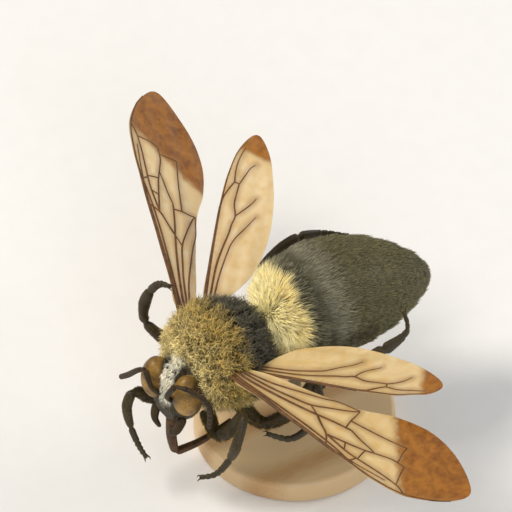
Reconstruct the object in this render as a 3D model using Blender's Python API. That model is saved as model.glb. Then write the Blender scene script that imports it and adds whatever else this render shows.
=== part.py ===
"""A bumblebee queen in flight at life size, held by a plain display stand.

Every sub-part is one closed solid of its own. Places on the bee are given in its own axes,
(forward, left, up) in millimetres from the midpoint between its wing roots. The model's frame has
its origin under the middle of the stand, the bee heading along -Y with its left side to +X, and +Z up.
The body solids reach out to the tips of the coat.
"""

import math

import bmesh
import bpy
from mathutils import Matrix, Vector
from mathutils.geometry import interpolate_bezier

MM = 0.001

# Stand
BASE_RADIUS = 7.0
BASE_THICKNESS = 1.8
BASE_CHAMFER = 0.35
ROD_RADIUS = 0.45
ROD_SINK = 1.2  # how deep the rod stands in the base
ROD_REACH = 7.8  # how high the rod's tip stands above the base
STAND_BEHIND = 5.5  # the stand's axis lies this far behind the wing roots

# Bee
WING_HEIGHT = 11.0  # the wing roots above the base
CUT = 0.1  # the thin cut between neighbours
THORAX_HALF = (4.5, 4.75, 4.35)
THORAX_AT = (0.3, 0.0, -1.9)
ABDOMEN_HALF = (7.0, 4.4, 4.05)
ABDOMEN_AT = (-9.55, 0.0, -0.95)
ABDOMEN_PITCH = -10.0  # degrees, tail down
HEAD_HALF = (1.4, 2.45, 2.95)
HEAD_AT = (4.3, 0.5, -2.95)
HEAD_YAW = 22.0  # degrees, turned to the left
EYE_HALF = (1.15, 1.08, 1.85)
EYE_AT = (0.35, 1.36, 0.8)  # in the head's axes, for the left eye
FOREWING_LENGTH = 19.5
HINDWING_LENGTH = 13.35
WING_THICKNESS = 0.5
LEAST_THICK = 0.5  # no feeler, foot or wing is thinner than this

# How finely round shapes are divided
BODY_SIDES = 32
HEAD_SIDES = 26
EYE_SIDES = 14
LIMB_SIDES = 8
LIMB_STEPS = 2  # rings from one joint of a limb to the next
EDGE_STEPS = 3  # outline points from one point of a wing's edge to the next
BASE_SIDES = 72
ROD_SIDES = 20
SHARP_ANGLE = 50.0  # degrees

UP = (0.0, 0.0, 1.0)
LEFT = (0.0, 1.0, 0.0)
FORWARD = (1.0, 0.0, 0.0)


def at(place):
    """A place on the bee as a point of the model's frame, in metres."""
    forward, left, up = place
    return Vector((left, -forward - STAND_BEHIND, up + WING_HEIGHT + BASE_THICKNESS)) * MM


def head_place(place):
    """A place in the head's own axes, as a place on the bee."""
    forward, left, up = place
    turn = math.radians(HEAD_YAW)
    return (
        HEAD_AT[0] + forward * math.cos(turn) - left * math.sin(turn),
        HEAD_AT[1] + forward * math.sin(turn) + left * math.cos(turn),
        HEAD_AT[2] + up,
    )


def material(name, color, roughness, metallic=0.0):
    """A Principled material of one linear colour."""
    made = bpy.data.materials.new(name)
    made.use_nodes = True
    shader = made.node_tree.nodes["Principled BSDF"]
    shader.inputs["Base Color"].default_value = (*color, 1.0)
    shader.inputs["Roughness"].default_value = roughness
    shader.inputs["Metallic"].default_value = metallic
    return made


def add(name, mesh, finish):
    """Links a mesh as one named, smooth-shaded object."""
    mesh.shade_smooth()
    mesh.set_sharp_from_angle(angle=math.radians(SHARP_ANGLE))
    made = bpy.data.objects.new(name, mesh)
    made.data.materials.append(finish)
    bpy.context.collection.objects.link(made)
    return made


def close(name, shape):
    """Turns a finished bmesh into a mesh with its faces pointing out."""
    bmesh.ops.recalc_face_normals(shape, faces=shape.faces[:])
    if shape.calc_volume(signed=True) < 0:
        bmesh.ops.reverse_faces(shape, faces=shape.faces[:])
    mesh = bpy.data.meshes.new(name)
    shape.to_mesh(mesh)
    shape.free()
    return mesh


def blob(name, half, form, place, finish, sides=BODY_SIDES):
    """A rounded mass: a unit sphere that form() shapes, scaled to half and put by place().

    The sphere's poles are at its front and back, and sides is its faces round the middle.
    """
    shape = bmesh.new()
    rows = 2 * round(sides / 3)
    bmesh.ops.create_uvsphere(shape, u_segments=sides, v_segments=rows, radius=1.0)
    for vert in shape.verts:
        left, up, forward = vert.co
        moved = form(forward, left, up)
        vert.co = at(place(tuple(m * h for m, h in zip(moved, half))))
    return add(name, close(name, shape), finish)


def hide(cutter):
    """Marks an object as a cutter, which is no part of the model."""
    cutter.hide_render = True
    cutter.display_type = "WIRE"
    return cutter


def cut(target, cutter, solver="EXACT"):
    """Subtracts a cutter from a solid."""
    step = target.modifiers.new("cut_" + cutter.name, "BOOLEAN")
    step.operation = "DIFFERENCE"
    step.solver = solver
    step.object = cutter


def grown(half, by):
    """Half sizes with a margin all round."""
    return tuple(size + by for size in half)


# Forms on the unit sphere, in (forward, left, up)


def thorax_form(forward, left, up):
    """A round barrel, narrower below and at the neck, with a domed back."""
    below = max(0.0, -up)
    ahead = max(0.0, forward)
    width = 1.0 - 0.22 * below**1.5 - 0.10 * ahead**3
    height = 1.0 - 0.08 * forward * forward
    return forward * (1.0 - 0.10 * below), left * width, up * height


def abdomen_form(forward, left, up):
    """An egg, fullest ahead of its middle, with a pointed tail that turns down a little."""
    behind = max(0.0, -forward - 0.1)
    width = 1.0 + 0.24 * forward - 0.20 * behind * behind
    flat = 0.90 if up < 0 else 1.0
    droop = 0.12 * behind * behind
    return forward, left * width, up * width * flat - droop


def head_form(forward, left, up):
    """A shield seen from the front: wide at the eyes, narrow at the jaws, flat behind."""
    below = max(0.0, -up)
    width = 1.0 - 0.34 * below**1.3
    depth = 0.82 if forward < 0 else 1.0
    return forward * depth * (1.0 - 0.12 * below), left * width, up


def plain_form(forward, left, up):
    """The sphere itself."""
    return forward, left, up


# Places of the masses


def around(centre, pitch=0.0):
    """Puts a mass round a centre, turned nose down by pitch degrees."""
    turn = math.radians(pitch)

    def place(offset):
        forward, left, up = offset
        return (
            centre[0] + forward * math.cos(turn) + up * math.sin(turn),
            centre[1] + left,
            centre[2] - forward * math.sin(turn) + up * math.cos(turn),
        )

    return place


def in_head(centre):
    """Puts a mass round a centre that is given in the head's axes."""
    return lambda offset: head_place(tuple(c + o for c, o in zip(centre, offset)))


# Limbs: legs, feelers and tongue


def smooth_path(joints):
    """Points and half widths along a smooth curve through (place, half width, half thickness)."""
    steps = LIMB_STEPS
    points = [Vector(place) for place, _, _ in joints]
    found = []
    for i in range(len(points) - 1):
        before = points[max(i - 1, 0)]
        after = points[min(i + 2, len(points) - 1)]
        a, b = points[i], points[i + 1]
        span = interpolate_bezier(a, a + (b - before) / 6.0, b - (after - a) / 6.0, b, steps + 1)
        for k, point in enumerate(span[:-1]):
            share = k / steps
            width = joints[i][1] * (1 - share) + joints[i + 1][1] * share
            thick = joints[i][2] * (1 - share) + joints[i + 1][2] * share
            found.append((point, width, thick))
    found.append((points[-1], joints[-1][1], joints[-1][2]))
    return found


def limb(name, joints, finish, side, start=None, end=None):
    """A closed tube with an oval section along its joints.

    side is the direction of the section's width. start and end tilt the end faces, so that two limbs
    that meet at a joint share its plane.
    """
    path = smooth_path(joints)
    shape = bmesh.new()
    rings = []
    for i, (point, width, thick) in enumerate(path):
        ahead = path[min(i + 1, len(path) - 1)][0] - path[max(i - 1, 0)][0]
        if i == 0 and start:
            ahead = Vector(start)
        if i == len(path) - 1 and end:
            ahead = Vector(end)
        across = Vector(side) - Vector(side).project(ahead)
        across.normalize()
        other = ahead.normalized().cross(across)
        ring = []
        for k in range(LIMB_SIDES):
            turn = math.tau * k / LIMB_SIDES
            spot = point + across * width * math.cos(turn) + other * thick * math.sin(turn)
            ring.append(shape.verts.new(at(spot)))
        rings.append(ring)
    for near, far in zip(rings, rings[1:]):
        for k in range(LIMB_SIDES):
            after = (k + 1) % LIMB_SIDES
            shape.faces.new((near[k], near[after], far[after], far[k]))
    for ring in (rings[0], rings[-1]):
        shape.faces.new(ring)
    return add(name, close(name, shape), finish)


def parted(near, far):
    """Opens a thin cut where two runs of joints meet. Returns both runs and the cut's direction."""
    joint = Vector(near[-1][0])
    along = (joint - Vector(near[-2][0])).normalized() + (Vector(far[1][0]) - joint).normalized()
    along.normalize()
    margin = along * CUT / 2
    near = [*near[:-1], (joint - margin, *near[-1][1:])]
    far = [(joint + margin, *far[0][1:]), *far[1:]]
    return near, far, along


# For each leg: hip, outer hip, middle of the thigh, knee, middle of the shin, ankle, foot bend, tip
LEG_JOINTS = {
    "fore_right": (
        (2.2, -1.2, -5.6),
        (3.1, -2.0, -6.5),
        (4.65, -2.3, -6.1),
        (5.95, -2.3, -4.9),
        (6.55, -2.25, -6.1),
        (6.55, -1.7, -7.7),
        (6.45, -0.75, -8.8),
        (6.35, 0.1, -9.2),
    ),
    "fore_left": (
        (2.2, 1.2, -5.6),
        (2.4, 2.9, -6.2),
        (1.9, 4.2, -4.6),
        (1.4, 5.0, -2.7),
        (2.5, 5.9, -4.2),
        (2.9, 5.6, -5.9),
        (3.8, 5.3, -7.2),
        (4.8, 4.8, -7.5),
    ),
    "middle_right": (
        (0.0, -1.5, -5.8),
        (0.6, -3.4, -6.2),
        (1.6, -5.0, -5.0),
        (2.6, -6.5, -3.7),
        (2.5, -6.85, -2.2),
        (2.2, -6.55, -0.7),
        (1.85, -5.85, 0.5),
        (1.5, -4.95, 0.9),
    ),
    "middle_left": (
        (-0.2, 1.5, -5.8),
        (-1.0, 3.4, -6.5),
        (-2.5, 4.8, -4.7),
        (-4.0, 5.2, -2.3),
        (-4.0, 6.0, -4.3),
        (-3.5, 5.6, -6.1),
        (-2.1, 5.3, -6.9),
        (-0.6, 4.6, -6.2),
    ),
    "hind_right": (
        (-2.2, -1.5, -5.6),
        (-3.3, -3.0, -6.1),
        (-4.9, -4.2, -4.1),
        (-5.4, -5.0, -1.9),
        (-7.4, -5.9, -1.6),
        (-9.4, -6.2, -1.5),
        (-11.3, -6.1, -1.9),
        (-13.0, -5.6, -2.6),
    ),
    "hind_left": (
        (-2.2, 1.5, -5.6),
        (-3.3, 2.9, -6.1),
        (-4.9, 4.1, -4.0),
        (-5.4, 4.8, -1.9),
        (-7.4, 5.5, -1.8),
        (-9.4, 5.5, -1.6),
        (-11.3, 5.35, -0.9),
        (-11.4, 4.75, 0.6),
    ),
}
# Half widths at the same joints for each pair of legs: thigh and shin widths, and foot
LEG_WIDTHS = {
    "fore": (0.75, 0.55, 0.62, 0.42, 0.50, 0.36, 0.30, 0.25),
    "middle": (0.80, 0.58, 0.62, 0.45, 0.55, 0.42, 0.34, 0.25),
    "hind": (0.85, 0.60, 0.66, 0.50, 0.72, 0.70, 0.40, 0.25),
}
LEG_FLATNESS = {"fore": 0.85, "middle": 0.80, "hind": 0.55}


def leg(place, finish, cutter):
    """One leg as thigh, shin and foot, parted by thin cuts at the knee and the ankle."""
    pair = place.split("_")[0]
    flat = LEG_FLATNESS[pair]
    joints = [
        (spot, width, max(LEAST_THICK / 2, width * flat))
        for spot, width in zip(LEG_JOINTS[place], LEG_WIDTHS[pair])
    ]
    femur, tibia, knee_cut = parted(joints[:4], joints[3:6])
    tibia, tarsus, ankle_cut = parted(tibia, joints[5:])
    thigh = limb(f"leg_{place}_femur", femur, finish, UP, None, knee_cut)
    limb(f"leg_{place}_tibia", tibia, finish, UP, knee_cut, ankle_cut)
    limb(f"leg_{place}_tarsus", tarsus, finish, UP, ankle_cut)
    cut(thigh, cutter)


# Wings: edges as (share of the length, share of the length behind the root's line)
FOREWING_EDGE = (
    (0.00, 0.000),
    (0.12, -0.012),
    (0.35, -0.038),
    (0.55, -0.066),
    (0.70, -0.082),
    (0.82, -0.072),
    (0.93, -0.018),
    (1.00, 0.060),
    (0.955, 0.122),
    (0.84, 0.188),
    (0.70, 0.222),
    (0.57, 0.203),
    (0.45, 0.158),
    (0.25, 0.122),
    (0.03, 0.082),
)
HINDWING_EDGE = (
    (0.00, 0.000),
    (0.25, -0.020),
    (0.50, -0.035),
    (0.74, -0.035),
    (0.92, 0.000),
    (1.00, 0.070),
    (0.91, 0.150),
    (0.76, 0.205),
    (0.58, 0.245),
    (0.38, 0.255),
    (0.18, 0.215),
    (0.03, 0.110),
)
# Each wing: its root, and how far it is swept back, raised and twisted (trailing edge up), in degrees
WINGS = {
    "wing_fore_right": (FOREWING_EDGE, FOREWING_LENGTH, (1.6, -4.0, 0.0), (22.3, 3.2, -33.0), -1),
    "wing_fore_left": (FOREWING_EDGE, FOREWING_LENGTH, (1.6, 4.0, 0.0), (21.4, 2.4, 0.0), 1),
    "wing_hind_right": (HINDWING_EDGE, HINDWING_LENGTH, (-0.5, -3.9, -0.55), (42.5, 13.7, 0.0), -1),
    "wing_hind_left": (HINDWING_EDGE, HINDWING_LENGTH, (-0.5, 3.9, -0.55), (39.3, 12.6, 0.0), 1),
}


def wing_outline(edge):
    """A smooth closed outline through the edge's points."""
    count = len(edge)
    points = [Vector((*spot, 0.0)) for spot in edge]
    outline = []
    for i in range(count):
        before, a, b, after = (points[(i + k) % count] for k in (-1, 0, 1, 2))
        span = interpolate_bezier(a, a + (b - before) / 6.0, b - (after - a) / 6.0, b, EDGE_STEPS + 1)
        outline += span[:-1]
    return outline


def wing(name, finish, body_cutters):
    """A flat wing plate, swept, raised and twisted, cut where it enters the body."""
    edge, length, root, angles, side = WINGS[name]
    turn, lift, twist = (math.radians(angle) for angle in angles)
    along = Vector((-math.sin(turn), side * math.cos(turn), math.tan(lift))).normalized()
    behind = Vector((-math.cos(turn), -side * math.sin(turn), 0.0))
    upward = along.cross(behind) * side
    behind = behind * math.cos(twist) + upward * math.sin(twist)
    normal = along.cross(behind).normalized() * WING_THICKNESS
    shape = bmesh.new()
    verts = []
    for spot in wing_outline(edge):
        place = Vector(root) + (along * spot.x + behind * spot.y) * length - normal / 2
        verts.append(shape.verts.new(at(place)))
    face = shape.faces.new(verts)
    lifted = bmesh.ops.extrude_face_region(shape, geom=[face])
    shift = at(normal) - at((0.0, 0.0, 0.0))
    moved = [item for item in lifted["geom"] if isinstance(item, bmesh.types.BMVert)]
    bmesh.ops.translate(shape, verts=moved, vec=shift)
    made = add(name, close(name, shape), finish)
    for cutter in body_cutters:
        cut(made, cutter)


# Head parts in the head's own axes, given for the left side
SCAPE = (((0.95, 0.4, 0.1), 0.30), ((1.75, 0.7, 1.5), 0.27), ((1.65, 1.3, 2.85), 0.30))
FLAGELLUM = {
    "left": (
        ((1.65, 1.3, 2.85), 0.28),
        ((1.4, 2.65, 2.95), 0.28),
        ((1.0, 3.75, 1.9), 0.30),
        ((0.85, 3.7, -0.55), 0.27),
    ),
    "right": (
        ((1.65, 1.3, 2.85), 0.28),
        ((1.58, 2.05, 2.1), 0.28),
        ((1.25, 3.07, 0.64), 0.30),
        ((0.85, 4.1, -0.7), 0.27),
    ),
}
MANDIBLE = (((0.55, 1.25, -1.75), 0.55), ((1.05, 0.95, -2.55), 0.42), ((1.15, 0.32, -3.1), 0.27))
# Tongue in the bee's axes: down from the mouth, then folded back under the breast
TONGUE_BASE = (((4.5, 0.5, -4.6), 0.55), ((4.75, 0.75, -7.0), 0.48), ((4.6, 1.0, -8.8), 0.42))
TONGUE_BLADE = (((4.6, 1.0, -8.8), 0.42), ((2.6, 1.30, -8.3), 0.38), ((0.3, 1.40, -7.3), 0.25))
TONGUE_FLATNESS = 0.7


def mirrored(run, side):
    """The run of a paired head part on one side, as (place, half width, half thickness)."""
    return [(head_place((f, side * left, up)), size, size) for (f, left, up), size in run]


def paired(side_name, side, finishes, cutters):
    """One side's eye, feeler and jaw."""
    eye_at = (EYE_AT[0], side * EYE_AT[1], EYE_AT[2])
    blob(f"eye_{side_name}", EYE_HALF, plain_form, in_head(eye_at), finishes["eye"], EYE_SIDES)
    hollow = grown(EYE_HALF, CUT)
    socket = blob(f"socket_{side_name}", hollow, plain_form, in_head(eye_at), finishes["eye"], EYE_SIDES)
    hide(socket)
    scape, flagellum, elbow_cut = parted(mirrored(SCAPE, side), mirrored(FLAGELLUM[side_name], side))
    jaw = mirrored(MANDIBLE, side)
    made = [
        limb(f"antenna_{side_name}_scape", scape, finishes["leg"], FORWARD, None, elbow_cut),
        limb(f"mandible_{side_name}", jaw, finishes["leg"], UP),
    ]
    limb(f"antenna_{side_name}_flagellum", flagellum, finishes["leg"], FORWARD, elbow_cut)
    for piece in made:
        cut(piece, cutters["head"])
        cut(piece, socket)
    return socket


def head(finishes, cutters, thorax):
    """The head with its eyes, feelers, jaws and tongue. The breast makes room for it."""
    skull = blob("head", HEAD_HALF, head_form, head_place, finishes["black"], HEAD_SIDES)
    for name, side in (("left", 1), ("right", -1)):
        socket = paired(name, side, finishes, cutters)
        cut(skull, socket, "MANIFOLD")
        cut(thorax, socket)
    cut(thorax, cutters["head"])
    flat = TONGUE_FLATNESS
    base = [(place, size, size * flat) for place, size in TONGUE_BASE]
    blade = [(place, size, max(LEAST_THICK / 2, size * flat)) for place, size in TONGUE_BLADE]
    base, blade, fold_cut = parted(base, blade)
    stem = limb("proboscis_base", base, finishes["leg"], LEFT, None, fold_cut)
    limb("proboscis_blade", blade, finishes["leg"], LEFT, fold_cut)
    cut(stem, cutters["head"])


def stand(finishes):
    """A round base with a chamfered top edge, and the rod that stands in it."""
    shape = bmesh.new()
    bmesh.ops.create_cone(
        shape,
        cap_ends=True,
        segments=BASE_SIDES,
        radius1=BASE_RADIUS * MM,
        radius2=BASE_RADIUS * MM,
        depth=BASE_THICKNESS * MM,
        matrix=Matrix.Translation((0.0, 0.0, BASE_THICKNESS * MM / 2)),
    )
    top = [e for e in shape.edges if all(v.co.z > BASE_THICKNESS * MM / 2 for v in e.verts)]
    bmesh.ops.bevel(shape, geom=top, offset=BASE_CHAMFER * MM, segments=1, affect="EDGES")
    base = add("stand_base", close("stand_base", shape), finishes["wood"])
    foot = BASE_THICKNESS - ROD_SINK
    height = ROD_SINK + ROD_REACH
    rods = {}
    for name, margin in (("stand_rod", 0.0), ("rod_hole", CUT)):
        shape = bmesh.new()
        bmesh.ops.create_cone(
            shape,
            cap_ends=True,
            segments=ROD_SIDES,
            radius1=(ROD_RADIUS + margin) * MM,
            radius2=(ROD_RADIUS + margin) * MM,
            depth=(height + 2 * margin) * MM,
            matrix=Matrix.Translation((0.0, 0.0, (foot + height / 2) * MM)),
        )
        rods[name] = add(name, close(name, shape), finishes["steel"])
    hole = hide(rods["rod_hole"])
    cut(base, hole)
    return hole


def main():
    """Builds the stand and the bee."""
    for old in list(bpy.data.objects):
        bpy.data.objects.remove(old)
    finishes = {
        "gold": material("golden_coat", (0.45, 0.33, 0.10), 0.9),
        "black": material("black_coat", (0.02, 0.018, 0.012), 0.8),
        "leg": material("leg_shell", (0.035, 0.022, 0.012), 0.4),
        "eye": material("eye_shell", (0.12, 0.05, 0.02), 0.2),
        "wing": material("wing_membrane", (0.60, 0.38, 0.17), 0.35),
        "wood": material("maple", (0.62, 0.47, 0.30), 0.5),
        "steel": material("steel", (0.55, 0.55, 0.55), 0.3, 1.0),
    }
    hole = stand(finishes)
    thorax = blob("thorax", THORAX_HALF, thorax_form, around(THORAX_AT), finishes["gold"])
    waist = around(ABDOMEN_AT, ABDOMEN_PITCH)
    abdomen = blob("abdomen", ABDOMEN_HALF, abdomen_form, waist, finishes["black"])
    black = finishes["black"]
    cutters = {
        "thorax": blob("cut_thorax", grown(THORAX_HALF, CUT), thorax_form, around(THORAX_AT), black),
        "head": blob("cut_head", grown(HEAD_HALF, CUT), head_form, head_place, black, HEAD_SIDES),
        "abdomen": blob("cut_abdomen", grown(ABDOMEN_HALF, CUT), abdomen_form, waist, black),
    }
    for cutter in cutters.values():
        hide(cutter)
    cut(abdomen, cutters["thorax"])
    cut(abdomen, hole)
    head(finishes, cutters, thorax)
    for place in LEG_JOINTS:
        leg(place, finishes["leg"], cutters["thorax"])
    for name in WINGS:
        wing(name, finishes["wing"], [cutters["thorax"], cutters["abdomen"]])


main()
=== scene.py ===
"""A bumblebee queen in flight, held by a turned display stand: the looks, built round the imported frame."""

import logging
import math
from collections.abc import Callable
from dataclasses import dataclass, field
from enum import Enum

import bpy
import numpy as np
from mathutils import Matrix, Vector
from mathutils.bvhtree import BVHTree


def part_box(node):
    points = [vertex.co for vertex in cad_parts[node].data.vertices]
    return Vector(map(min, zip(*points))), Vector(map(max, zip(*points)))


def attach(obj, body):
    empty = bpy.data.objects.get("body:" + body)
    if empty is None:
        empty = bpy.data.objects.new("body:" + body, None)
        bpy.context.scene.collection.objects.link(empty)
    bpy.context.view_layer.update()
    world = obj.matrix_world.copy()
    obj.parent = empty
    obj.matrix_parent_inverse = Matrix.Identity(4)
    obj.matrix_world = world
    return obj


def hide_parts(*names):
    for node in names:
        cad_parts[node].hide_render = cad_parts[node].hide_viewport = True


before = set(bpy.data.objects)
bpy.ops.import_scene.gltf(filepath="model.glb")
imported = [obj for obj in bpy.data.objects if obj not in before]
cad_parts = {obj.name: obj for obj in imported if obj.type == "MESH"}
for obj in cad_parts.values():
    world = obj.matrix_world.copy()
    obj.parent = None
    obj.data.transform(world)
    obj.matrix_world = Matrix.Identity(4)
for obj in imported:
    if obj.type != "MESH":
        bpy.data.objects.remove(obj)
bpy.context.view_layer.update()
log = logging.getLogger("bumblebee")

MM = 0.001
TAU = math.tau
Triple = tuple[float, float, float]
Stops = tuple[tuple[float, str], ...]
Route = tuple[tuple[float, float], ...]
Stations = tuple[tuple[float, ...], ...]

UPRIGHT = (0.0, 0.0, 1.0)
ALL_SMOOTH = 180.0
HEAD_CENTRE = (4.3, 0.5, -2.95)
HEAD_YAW = 22.0


class Side(Enum):
    """The bee's own left and right, as the sign of the left axis."""

    LEFT = 1
    RIGHT = -1

    @property
    def word(self) -> str:
        """The side's name in a piece's name."""
        return self.name.lower()


class Slot(Enum):
    """The record's finishes."""

    THORAX = "thorax_coat"
    ABDOMEN = "abdomen_coat"
    HEAD = "head_coat"
    EYE = "eye_shell"
    LEG = "leg_shell"
    HORN = "mouth_and_feeler_shell"
    WING = "wing_membrane"
    WOOD = "stand_wood"
    STEEL = "stand_steel"


# ---------------------------------------------------------------------------------------------------
# Places: the bee is drawn in (forward, left, up) millimetres from the point between its wing roots


@dataclass(frozen=True)
class BeePlace:
    """Where the bee hangs over its stand.

    The wing roots' middle is a fixed way ahead of the stand's axis and above the base's top face.
    """

    ahead_of_rod: float = 5.5
    above_base: float = 11.0

    def origin(self) -> np.ndarray:
        """The point between the wing roots, in the row's metres.

        Returns:
            Its X, Y and Z.
        """
        low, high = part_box("stand_base")
        middle = (low + high) / 2
        return np.array((middle.x, middle.y - self.ahead_of_rod * MM, high.z + self.above_base * MM))

    def row(self, points: np.ndarray) -> np.ndarray:
        """Turn bee millimetres into the row's metres.

        Args:
            points: Places as (..., 3) of forward, left and up.

        Returns:
            The same places along the row's X, Y and Z.
        """
        turned = np.stack((points[..., 1], -points[..., 0], points[..., 2]), -1)
        return self.origin() + MM * turned


BEE = BeePlace()


def unit(vectors: np.ndarray) -> np.ndarray:
    """Scale vectors to length one."""
    return vectors / np.maximum(np.linalg.norm(vectors, axis=-1, keepdims=True), 1e-9)


def dots(one: np.ndarray, two: np.ndarray) -> np.ndarray:
    """How far each vector runs along its fellow in the other list."""
    return np.einsum("ij,ij->i", one, two)


def ramp(low: float, high: float, values: np.ndarray) -> np.ndarray:
    """Rise smoothly from 0 at low to 1 at high (low may be the larger)."""
    share = np.clip((np.asarray(values, float) - low) / (high - low), 0.0, 1.0)
    return share * share * (3 - 2 * share)


def bump(middle: float | np.ndarray, reach: float, values: np.ndarray) -> np.ndarray:
    """A soft hump of height 1 at middle that fades over reach."""
    return np.exp(-(((np.asarray(values, float) - middle) / reach) ** 2))


def ripple(points: np.ndarray, wavelength: float, seed: int) -> np.ndarray:
    """A smooth wandering vector at each point, made of a few crossed waves.

    Args:
        points: Places as (n, 3), in millimetres.
        wavelength: Distance over which the vector changes, in millimetres.
        seed: Picks the waves.

    Returns:
        Vectors of about length one, as (n, 3).
    """
    rng = np.random.default_rng(seed)
    waves = unit(rng.normal(size=(7, 3))) * TAU / wavelength * rng.uniform(0.7, 1.5, (7, 1))
    phases = rng.uniform(0, TAU, (7, 3))
    turns = points @ waves.T
    return np.sin(turns[:, :, None] + phases[None]).sum(1) / 2.2


def smooth_curve(stations: np.ndarray, steps: int = 14, closed: bool = False) -> np.ndarray:
    """Run a soft curve through stations, whatever each one holds.

    Args:
        stations: Rows of numbers, as (n, k): a place and perhaps widths.
        steps: Points drawn between one station and the next.
        closed: Whether the last station runs on into the first.

    Returns:
        Rows along the curve, as (m, k).
    """
    count = len(stations)
    spans = []
    for i in range(count if closed else count - 1):
        index = [(i + k) % count if closed else min(max(i + k, 0), count - 1) for k in (-1, 0, 1, 2)]
        before, a, b, after = (stations[j] for j in index)
        one, two = a + (b - before) / 6, b - (after - a) / 6
        t = (np.arange(steps) / steps)[:, None]
        spans.append((1 - t) ** 3 * a + 3 * (1 - t) ** 2 * t * one + 3 * (1 - t) * t**2 * two + t**3 * b)
    if not closed:
        spans.append(stations[-1:])
    return np.concatenate(spans)


def lengths_along(places: np.ndarray) -> np.ndarray:
    """The way travelled to each point of a line."""
    return np.concatenate(([0.0], np.cumsum(np.linalg.norm(np.diff(places, axis=0), axis=1))))


def read_at(marks: np.ndarray, curve: np.ndarray) -> np.ndarray:
    """The rows of a curve, place first, at ways travelled along it."""
    travelled = lengths_along(curve[:, :3])
    return np.stack([np.interp(marks, travelled, column) for column in curve.T], 1)


# ---------------------------------------------------------------------------------------------------
# Surfaces and pieces

POLE_GAP = 0.02  # how far the first ring of a ball stays from its pole, in radians
POLE_REACH = 0.1  # where the way out is taken from a form's centre, in millimetres from its line
END_RINGS = np.array((0.015, 0.06, 0.15, 0.3, 0.5, 0.75))  # the rings of a round end, in half widths


@dataclass
class Surface:
    """A mesh in the making, in bee millimetres."""

    points: np.ndarray
    faces: list[np.ndarray]
    marks: dict[str, np.ndarray] = field(default_factory=dict)
    unwrap: np.ndarray | None = None

    def outward(self) -> "Surface":
        """Turn every face over where the surface is inside out.

        Returns:
            The surface itself.
        """
        volume = 0.0
        for corners in self.faces:
            for k in range(1, corners.shape[1] - 1):
                a, b, c = (self.points[corners[:, j]] for j in (0, k, k + 1))
                volume += float(np.einsum("ij,ij->", a, np.cross(b, c)))
        if volume < 0:
            self.faces = [corners[:, ::-1] for corners in self.faces]
        return self


def joined(surfaces: list[Surface]) -> Surface:
    """Put several plain surfaces into one.

    Args:
        surfaces: Surfaces without marks or unwraps.

    Returns:
        One surface with all their faces.
    """
    starts = np.cumsum([0, *(len(surface.points) for surface in surfaces)])
    faces = [corners + start for surface, start in zip(surfaces, starts) for corners in surface.faces]
    return Surface(np.concatenate([surface.points for surface in surfaces]), faces)


def ring_quads(count: int, sides: int) -> np.ndarray:
    """The faces between each ring and the next, as (n, 4) point numbers.

    Args:
        count: How many rings there are.
        sides: How many points each has.

    Returns:
        The faces, ring by ring.
    """
    row, column = np.meshgrid(np.arange(count - 1), np.arange(sides), indexing="ij")
    start, after = row * sides, (column + 1) % sides
    corners = (start + column, start + after, start + sides + after, start + sides + column)
    return np.stack([corner.ravel() for corner in corners], 1)


@dataclass
class RingForm:
    """A closed form drawn as rings from its first pole to its last.

    rings is (count, sides, 3); the poles are the middles of the first and last ring.
    """

    rings: np.ndarray

    def surface(self) -> Surface:
        """The closed surface, with its faces pointing out.

        Returns:
            Its rings, with a fan of triangles to each pole.
        """
        count, sides, _ = self.rings.shape
        poles = np.stack((self.rings[0].mean(0), self.rings[-1].mean(0)))
        points = np.concatenate((self.rings.reshape(-1, 3), poles))
        turn = np.arange(sides)
        following = (turn + 1) % sides
        last = (count - 1) * sides
        first_cap = np.stack((np.full(sides, count * sides), following, turn), 1)
        last_cap = np.stack((np.full(sides, count * sides + 1), last + turn, last + following), 1)
        return Surface(points, [ring_quads(count, sides), np.concatenate((first_cap, last_cap))]).outward()

    def scatter(
        self, count: int, rng: np.random.Generator, weight: Callable[[np.ndarray], np.ndarray]
    ) -> "Roots":
        """Spread roots over the form.

        Args:
            count: How many roots.
            rng: The source of chance.
            weight: Gives how thickly they stand at places (n, 3).

        Returns:
            The roots, with the form's own directions at each.
        """
        a, b = self.rings[:-1], self.rings[1:]
        corners = (a, np.roll(a, -1, 1), b, np.roll(b, -1, 1))
        middles = sum(corners) / 4
        across = (corners[1] + corners[3] - corners[0] - corners[2]) / 2
        along = (corners[2] + corners[3] - corners[0] - corners[1]) / 2
        areas = np.linalg.norm(np.cross(across, along), axis=-1)
        share = (areas * weight(middles.reshape(-1, 3)).reshape(areas.shape)).ravel()
        i, j = np.divmod(rng.choice(len(share), count, p=share / share.sum()), areas.shape[1])
        s, t = rng.random(count), rng.random(count)
        down, aside = s[:, None], t[:, None]
        c00, c01, c10, c11 = (corner[i, j] for corner in corners)
        near, far = c00 * (1 - aside) + c01 * aside, c10 * (1 - aside) + c11 * aside
        places = near * (1 - down) + far * down
        normals = unit(np.cross(across[i, j], along[i, j]))
        from_middle = places - ((a.mean(1) + b.mean(1)) / 2)[i]
        at_pole = np.linalg.norm(from_middle, axis=1) < POLE_REACH
        from_centre = places - self.rings.reshape(-1, 3).mean(0)
        inward = np.where(at_pole, dots(normals, from_centre) < 0, dots(normals, from_middle) < 0)
        normals[inward] *= -1
        unwrap = np.stack(((j + t) / areas.shape[1], (i + s) / areas.shape[0]), 1)
        return Roots(places, normals, unit(along[i, j]), unwrap)


def evenly(places: np.ndarray) -> np.ndarray:
    """Weigh every place alike."""
    return np.ones(len(places))


@dataclass
class Roots:
    """Where locks grow: places, the way out, the way along the form, and the unwrap."""

    places: np.ndarray
    normals: np.ndarray
    along: np.ndarray
    unwrap: np.ndarray

    def kept(self, mask: np.ndarray) -> "Roots":
        """Only the roots under a mask."""
        return Roots(self.places[mask], self.normals[mask], self.along[mask], self.unwrap[mask])


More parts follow.
